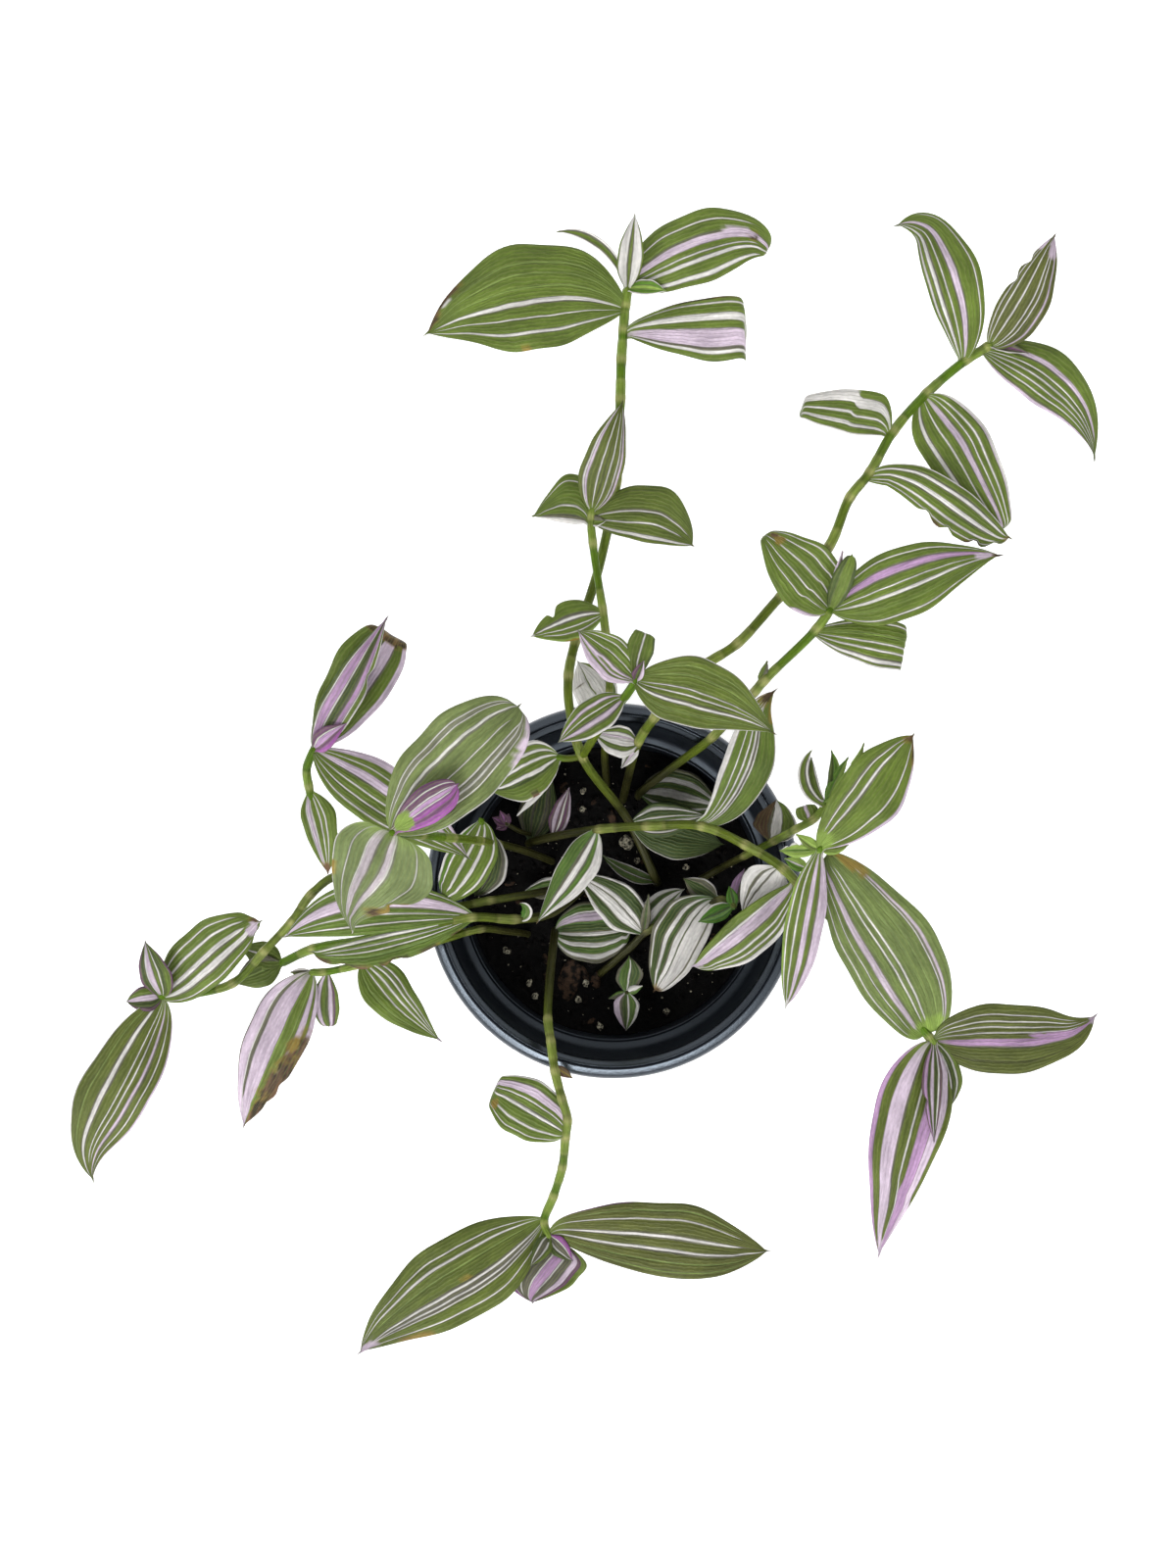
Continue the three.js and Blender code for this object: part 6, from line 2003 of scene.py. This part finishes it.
@dataclass
class PottingMix:
    """The dark mix in the pot, with perlite, bark and crumbs on it."""

    pot: Pot
    depth: float = 27.0
    relief: float = 0.9
    waves: tuple[float, float, float, float] = (9.0, 11.0, 5.0, 6.0)  # lengths over 2 pi: x, y, x, y
    second_wave: float = 0.6      # share of the first
    wall_fall: float = 1.2
    wall_gap: float = 0.75
    top_gap: float = 0.15
    foot_gap: float = 0.35
    mounds: Layers = ((0.7, 4.2, 1), (0.6, 2.1, 2))  # share, size, seed
    grit: tuple[float, float, int] = (0.35, 0.9, 3)
    settled: float = 0.6          # how far the lumps sink
    rings: int = 96
    around: int = 220
    bare_edge: float = 2.5        # no grain is strewn this close to the wall
    dents: Layers = ((1.0, 0.8, 7), (0.5, 0.35, 8))
    apart: float = 50.0           # how far apart the grains read the noise
    lean: float = 0.5             # radians that a grain may tilt
    chip_height: float = 1.1

    @property
    def top(self) -> float:
        """Mean height of the mix's surface."""
        return self.pot.height - self.depth

    def height(self, x: np.ndarray, y: np.ndarray) -> np.ndarray:
        """The surface: two slow waves that cross, and a slight fall to the wall.

        Args:
            x: places along X.
            y: places along Y.

        Returns:
            Heights, in the same shape.
        """
        first_x, first_y, second_x, second_y = self.waves
        waves = np.sin(x / first_x + 1) * np.cos(y / first_y)
        waves = waves + self.second_wave * np.sin(x / second_x - y / second_y)
        return self.top + self.relief * waves - self.wall_fall * (np.hypot(x, y) / self.pot.shoulder) ** 4

    def rough_height(self, x: np.ndarray, y: np.ndarray) -> np.ndarray:
        """The surface with lumps: the waves, two sizes of noise turned all upward, and grit.

        Args:
            x: places along X.
            y: places along Y.

        Returns:
            Heights, in the same shape.
        """
        flat = np.stack([x, y, np.zeros_like(x)], -1)
        lumps = sum(np.abs(layered_noise(flat, (mound,))) for mound in self.mounds)
        return self.height(x, y) + lumps + layered_noise(flat, (self.grit,)) - self.settled

    def body(self) -> Surface:
        """The mix as one closed shape: a lumpy disc above, the pot's own taper round it.

        Returns:
            The closed surface.
        """
        share = np.linspace(0, 1, self.rings + 1)[1:]
        disc = circles((self.pot.inner_radius(self.top) - self.top_gap) * share, 0 * share, self.around)
        disc[..., 2] = self.rough_height(disc[..., 0], disc[..., 1])
        low = self.pot.floor + self.foot_gap
        foot_radius = self.pot.inner_radius(self.pot.floor) - self.wall_gap
        foot = circles(np.array([foot_radius]), np.array([low]), self.around)
        crown = self.rough_height(np.zeros(1), np.zeros(1))[0]
        return spindle(np.concatenate([disc, foot]), np.array([[0, 0, crown], [0, 0, low]]), downward=True)

    def lumps(self, places: np.ndarray, sizes: np.ndarray, draw: np.random.Generator,
              kind: Grains) -> Surface:
        """Many irregular grains at once: a ball's grid, stretched, dented and turned for each.

        Args:
            places: the grains' middles.
            sizes: half length, width and height of each.
            draw: random numbers.
            kind: their grid and how pitted they are.

        Returns:
            One surface that holds all the grains.
        """
        polar = np.linspace(0, math.pi, kind.rows + 2)[1:-1]
        rings = circles(np.sin(polar), np.cos(polar), kind.columns)
        ball = spindle(rings, np.array([[0, 0, 1], [0, 0, -1]]), downward=True)
        count, each = len(places), len(ball.points)
        spun = draw.uniform(0, 2 * math.pi, count)[:, None]
        own = ball.points[None] + draw.uniform(-self.apart, self.apart, (count, 1, 3))
        dent = 1 + kind.pitted * layered_noise(own, self.dents)
        x, y, z = np.moveaxis(ball.points[None] * dent[..., None] * sizes[:, None], -1, 0)
        x, z = rotated(x, z, draw.uniform(-self.lean, self.lean, count)[:, None])
        x, y = rotated(x, y, spun)
        points = np.stack([x, y, z], -1) + places[:, None]
        shift = (np.arange(count) * each)[:, None, None]
        return Surface(points.reshape(-1, 3), (ball.quads + shift).reshape(-1, 4),
                       (ball.triangles + shift).reshape(-1, 3))

    def strewn(self, kind: Grains, draw: np.random.Generator) -> Surface:
        """Grains of one kind at random places on the surface, even over its area.

        Args:
            kind: their number, sizes and grid.
            draw: random numbers.

        Returns:
            The grains.
        """
        size = draw.uniform(*kind.size, (kind.count, 1))
        own_sides = len(kind.stretch) == 2
        size = size * (draw.uniform(*kind.stretch, (kind.count, 3)) if own_sides else np.array(kind.stretch))
        reach = self.pot.inner_radius(self.top) - self.bare_edge
        radius = reach * np.sqrt(draw.uniform(0, 1, kind.count))
        x, y = rotated(radius, 0 * radius, draw.uniform(0, 2 * math.pi, kind.count))
        places = np.stack([x, y, self.rough_height(x, y) + kind.lift], 1)
        return self.lumps(places, size, draw, kind)

    def on_mix(self, pixels: list[Pair]) -> np.ndarray:
        """The points of the mix's surface that show at pixels.

        Args:
            pixels: column and row of each.

        Returns:
            One point for each pixel.
        """
        spots = np.array([EYE.place((column, row, self.top)) for column, row in pixels])
        spots[:, 2] = self.rough_height(spots[:, 0], spots[:, 1])
        return spots

    def build(self, palette: Palette) -> None:
        """Makes the mix and what lies on it. The mix stands for its solid.

        Args:
            palette: the shared shader groups.
        """
        dress(mesh_object("mix", self.body(), EARTH.material(palette)), "soil", "soil")
        crumbs = self.strewn(CRUMBS, seeded("crumbs"))
        dress(mesh_object("peat_crumbs", crumbs, PEAT.material(palette)), "soil")
        draw = seeded("perlite")
        specks = self.strewn(SPECKS, draw)
        placed = self.on_mix([pixel for pixel, _ in PERLITE.values()])
        radii = np.array([radius for _, radius in PERLITE.values()])
        placed[:, 2] += GRANULES.lift * radii
        sizes = radii[:, None] * draw.uniform(*GRANULES.stretch, (len(radii), 3))
        perlite = joined([self.lumps(placed, sizes, draw, GRANULES), specks])
        dress(mesh_object("perlite", perlite, WHITE_GRIT.material(palette)), "soil")
        draw = seeded("bark")
        chips = [self.chip(name, *facts, draw) for name, facts in BARK.items()]
        bark = joined([*chips, self.strewn(SCRAPS, draw)])
        dress(mesh_object("bark", bark, WOOD.material(palette)), "soil")

    def chip(self, name: str, pixel: Pair, length: float, width: float,
             angle: float, draw: np.random.Generator) -> Surface:
        """One larger bark chip that lies on the mix.

        Args:
            name: the chip's name, for the log.
            pixel: where it shows.
            length: its length.
            width: its width.
            angle: the direction it lies in, in degrees.
            draw: random numbers.

        Returns:
            The chip.
        """
        LOG.info("bark chip %s", name)
        size = np.array([[length / 2, width / 2, self.chip_height]])
        grain = self.lumps(np.zeros((1, 3)), size, draw, CHIPS)
        x, y, z = grain.points.T
        grain.points = np.stack([*rotated(x, y, math.radians(angle)), z], 1) + self.on_mix([pixel])
        return grain


# Perlite granules that show on the mix: the pixel of each, and its radius.
PERLITE: dict[str, tuple[Pair, float]] = {
    "large": ((640, 860), 3.6), "west1": ((517, 970), 1.9), "west2": ((540, 1003), 1.6),
    "west3": ((546, 1016), 1.4), "south1": ((598, 1003), 1.8), "south2": ((577, 967), 1.5),
    "south3": ((590, 1020), 1.6), "south4": ((612, 1047), 1.9), "south5": ((680, 1032), 1.8),
    "east1": ((700, 885), 1.6), "east2": ((749, 981), 1.9), "north1": ((595, 807), 1.7),
    "north2": ((595, 826), 1.5), "north3": ((650, 878), 1.4),
}

# Bark chips that lie on the mix: pixel, length, width and direction.
BARK: dict[str, tuple[Pair, float, float, float]] = {
    "south": ((580, 1003), 19.0, 8.0, -18.0),
    "stub": ((608, 1002), 7.5, 3.6, -50.0),
    "twig": ((597, 996), 9.0, 2.2, 20.0),
    "north": ((625, 834), 6.0, 3.0, 10.0),
    "east": ((728, 958), 5.0, 2.6, 70.0),
    "west": ((520, 900), 5.0, 2.6, -20.0),
}


# ---------------------------------------------------------------- studio


@dataclass
class Studio:
    """The plain pale floor, the soft light and the camera straight above the pot."""

    sensor: float = 36.0
    floor_reach: float = 3.0      # metres
    sky: float = 1.2              # brightness from the horizon up
    zenith: float = 0.3           # brightness round the camera, which blocks the light
    strip: float = 12.0           # brightness of the long light on the near side
    strip_side: Triple = (-0.34, -0.94, 0.0)
    strip_heights: tuple[float, float, float, float] = (0.585, 0.605, 0.685, 0.705)  # sines: fades in, out
    strip_sweep: Pair = (0.2, 0.62)  # cosines from its middle over which it fades in
    dome: Pair = (0.7, 0.93)      # sines over which the sky goes over to the zenith
    lamp_power: float = 8.0
    lamp_size: float = 0.55
    lamp_place: Triple = (-0.60, -1.41, 1.29)
    floor_tones: Pair = (0.94, 0.98)
    floor_mottle: Pair = (6.0, 0.02)  # scale, amount
    floor_roughness: float = 0.85
    floor_glow: float = 0.25
    floor_grid: int = 5
    floor_drop: float = -0.05     # millimetres below the pot, so that the two don't touch

    def camera(self) -> None:
        """The photograph's camera: it looks straight down, and its shift frames the photograph."""
        data = bpy.data.cameras.new("camera")
        data.sensor_width = self.sensor
        tall = EYE.frame_rows * EYE.slope * EYE.above_rim
        data.lens = self.sensor * EYE.above_rim / tall
        data.shift_x = (EYE.frame_columns / 2 - EYE.column) / EYE.frame_rows
        data.shift_y = (EYE.row - EYE.frame_rows / 2) / EYE.frame_rows
        camera = bpy.data.objects.new("camera", data)
        camera.location = (0, 0, EYE.height * METRES)
        bpy.context.scene.collection.objects.link(camera)
        bpy.context.scene.camera = camera

    def light(self) -> None:
        """A pale sky, darker straight above, with a long light across one side, and a soft lamp."""
        world = bpy.data.worlds.new("sky")
        world.use_nodes = True
        n = Nodes(world.node_tree)
        towards = n.add("TexCoord").outputs["Generated"]
        split = n.feed(n.add("SeparateXYZ"), {0: towards})
        facing = n.feed(n.add("VectorMath", operation="DOT_PRODUCT"), {0: towards, 1: self.strip_side})
        above = n.ramp(split.outputs["Z"], *self.strip_heights[:2], 0.0, self.strip)
        below = n.ramp(split.outputs["Z"], *self.strip_heights[2:], 1.0, 0.0)
        sweep = n.ramp(facing.outputs["Value"], *self.strip_sweep, 0.0, 1.0)
        strip = n.math("MULTIPLY", n.math("MULTIPLY", above, below), sweep)
        dome = n.ramp(split.outputs["Z"], *self.dome, self.sky, self.zenith)
        sky = world.node_tree.nodes["Background"]
        n.feed(sky, {"Color": WHITE, "Strength": n.math("ADD", dome, strip)})
        bpy.context.scene.world = world
        lamp = bpy.data.lights.new("lamp", "AREA")
        lamp.energy, lamp.size = self.lamp_power, self.lamp_size
        holder = bpy.data.objects.new("lamp", lamp)
        holder.location = self.lamp_place
        x, y, z = self.lamp_place
        holder.rotation_euler = (0, math.atan2(math.hypot(x, y), z), math.atan2(y, x))
        bpy.context.scene.collection.objects.link(holder)
        bpy.context.scene.view_settings.view_transform = "Standard"

    def ground(self, palette: Palette) -> None:
        """A wide pale floor under the pot.

        Args:
            palette: the shared shader groups.
        """
        material, n, shader = new_material("pale_floor")
        coords = n.add("TexCoord")
        scale, amount = self.floor_mottle
        mottle = palette.place(n, palette.mottle, Vector=coords.outputs["Object"], Scale=scale, Amount=amount)
        dark, light = ((tone, tone, tone) for tone in self.floor_tones)
        n.feed(shader, {
            "Base Color": n.mix(mottle.outputs["Tone"], dark, light), "Roughness": self.floor_roughness,
            "Emission Color": WHITE, "Emission Strength": self.floor_glow,
        })
        span = np.linspace(-self.floor_reach, self.floor_reach, self.floor_grid) / METRES
        x, y = np.meshgrid(span, span)
        points = np.stack([x, y, np.full_like(x, self.floor_drop)], -1).reshape(-1, 3)
        mesh_object("floor", Surface(points, grid_quads(*x.shape)), material)


# ---------------------------------------------------------------- main


def main() -> None:
    """Builds the studio, the pot, the mix and the shoots, in that order."""
    logging.basicConfig(level=logging.INFO, format="%(name)s %(message)s")
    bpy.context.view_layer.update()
    palette = Palette()
    studio = Studio()
    studio.camera()
    studio.light()
    studio.ground(palette)
    pot = Pot()
    pot.build(PlasticFinish().material(palette))
    PottingMix(pot).build(palette)
    leaf_skin, stem_skin = LEAF_SKIN.material(palette), STEM_SKIN.material(palette)
    for shoot in SHOOTS:
        shoot.build(leaf_skin, stem_skin)


if __name__ == "__main__":
    main()
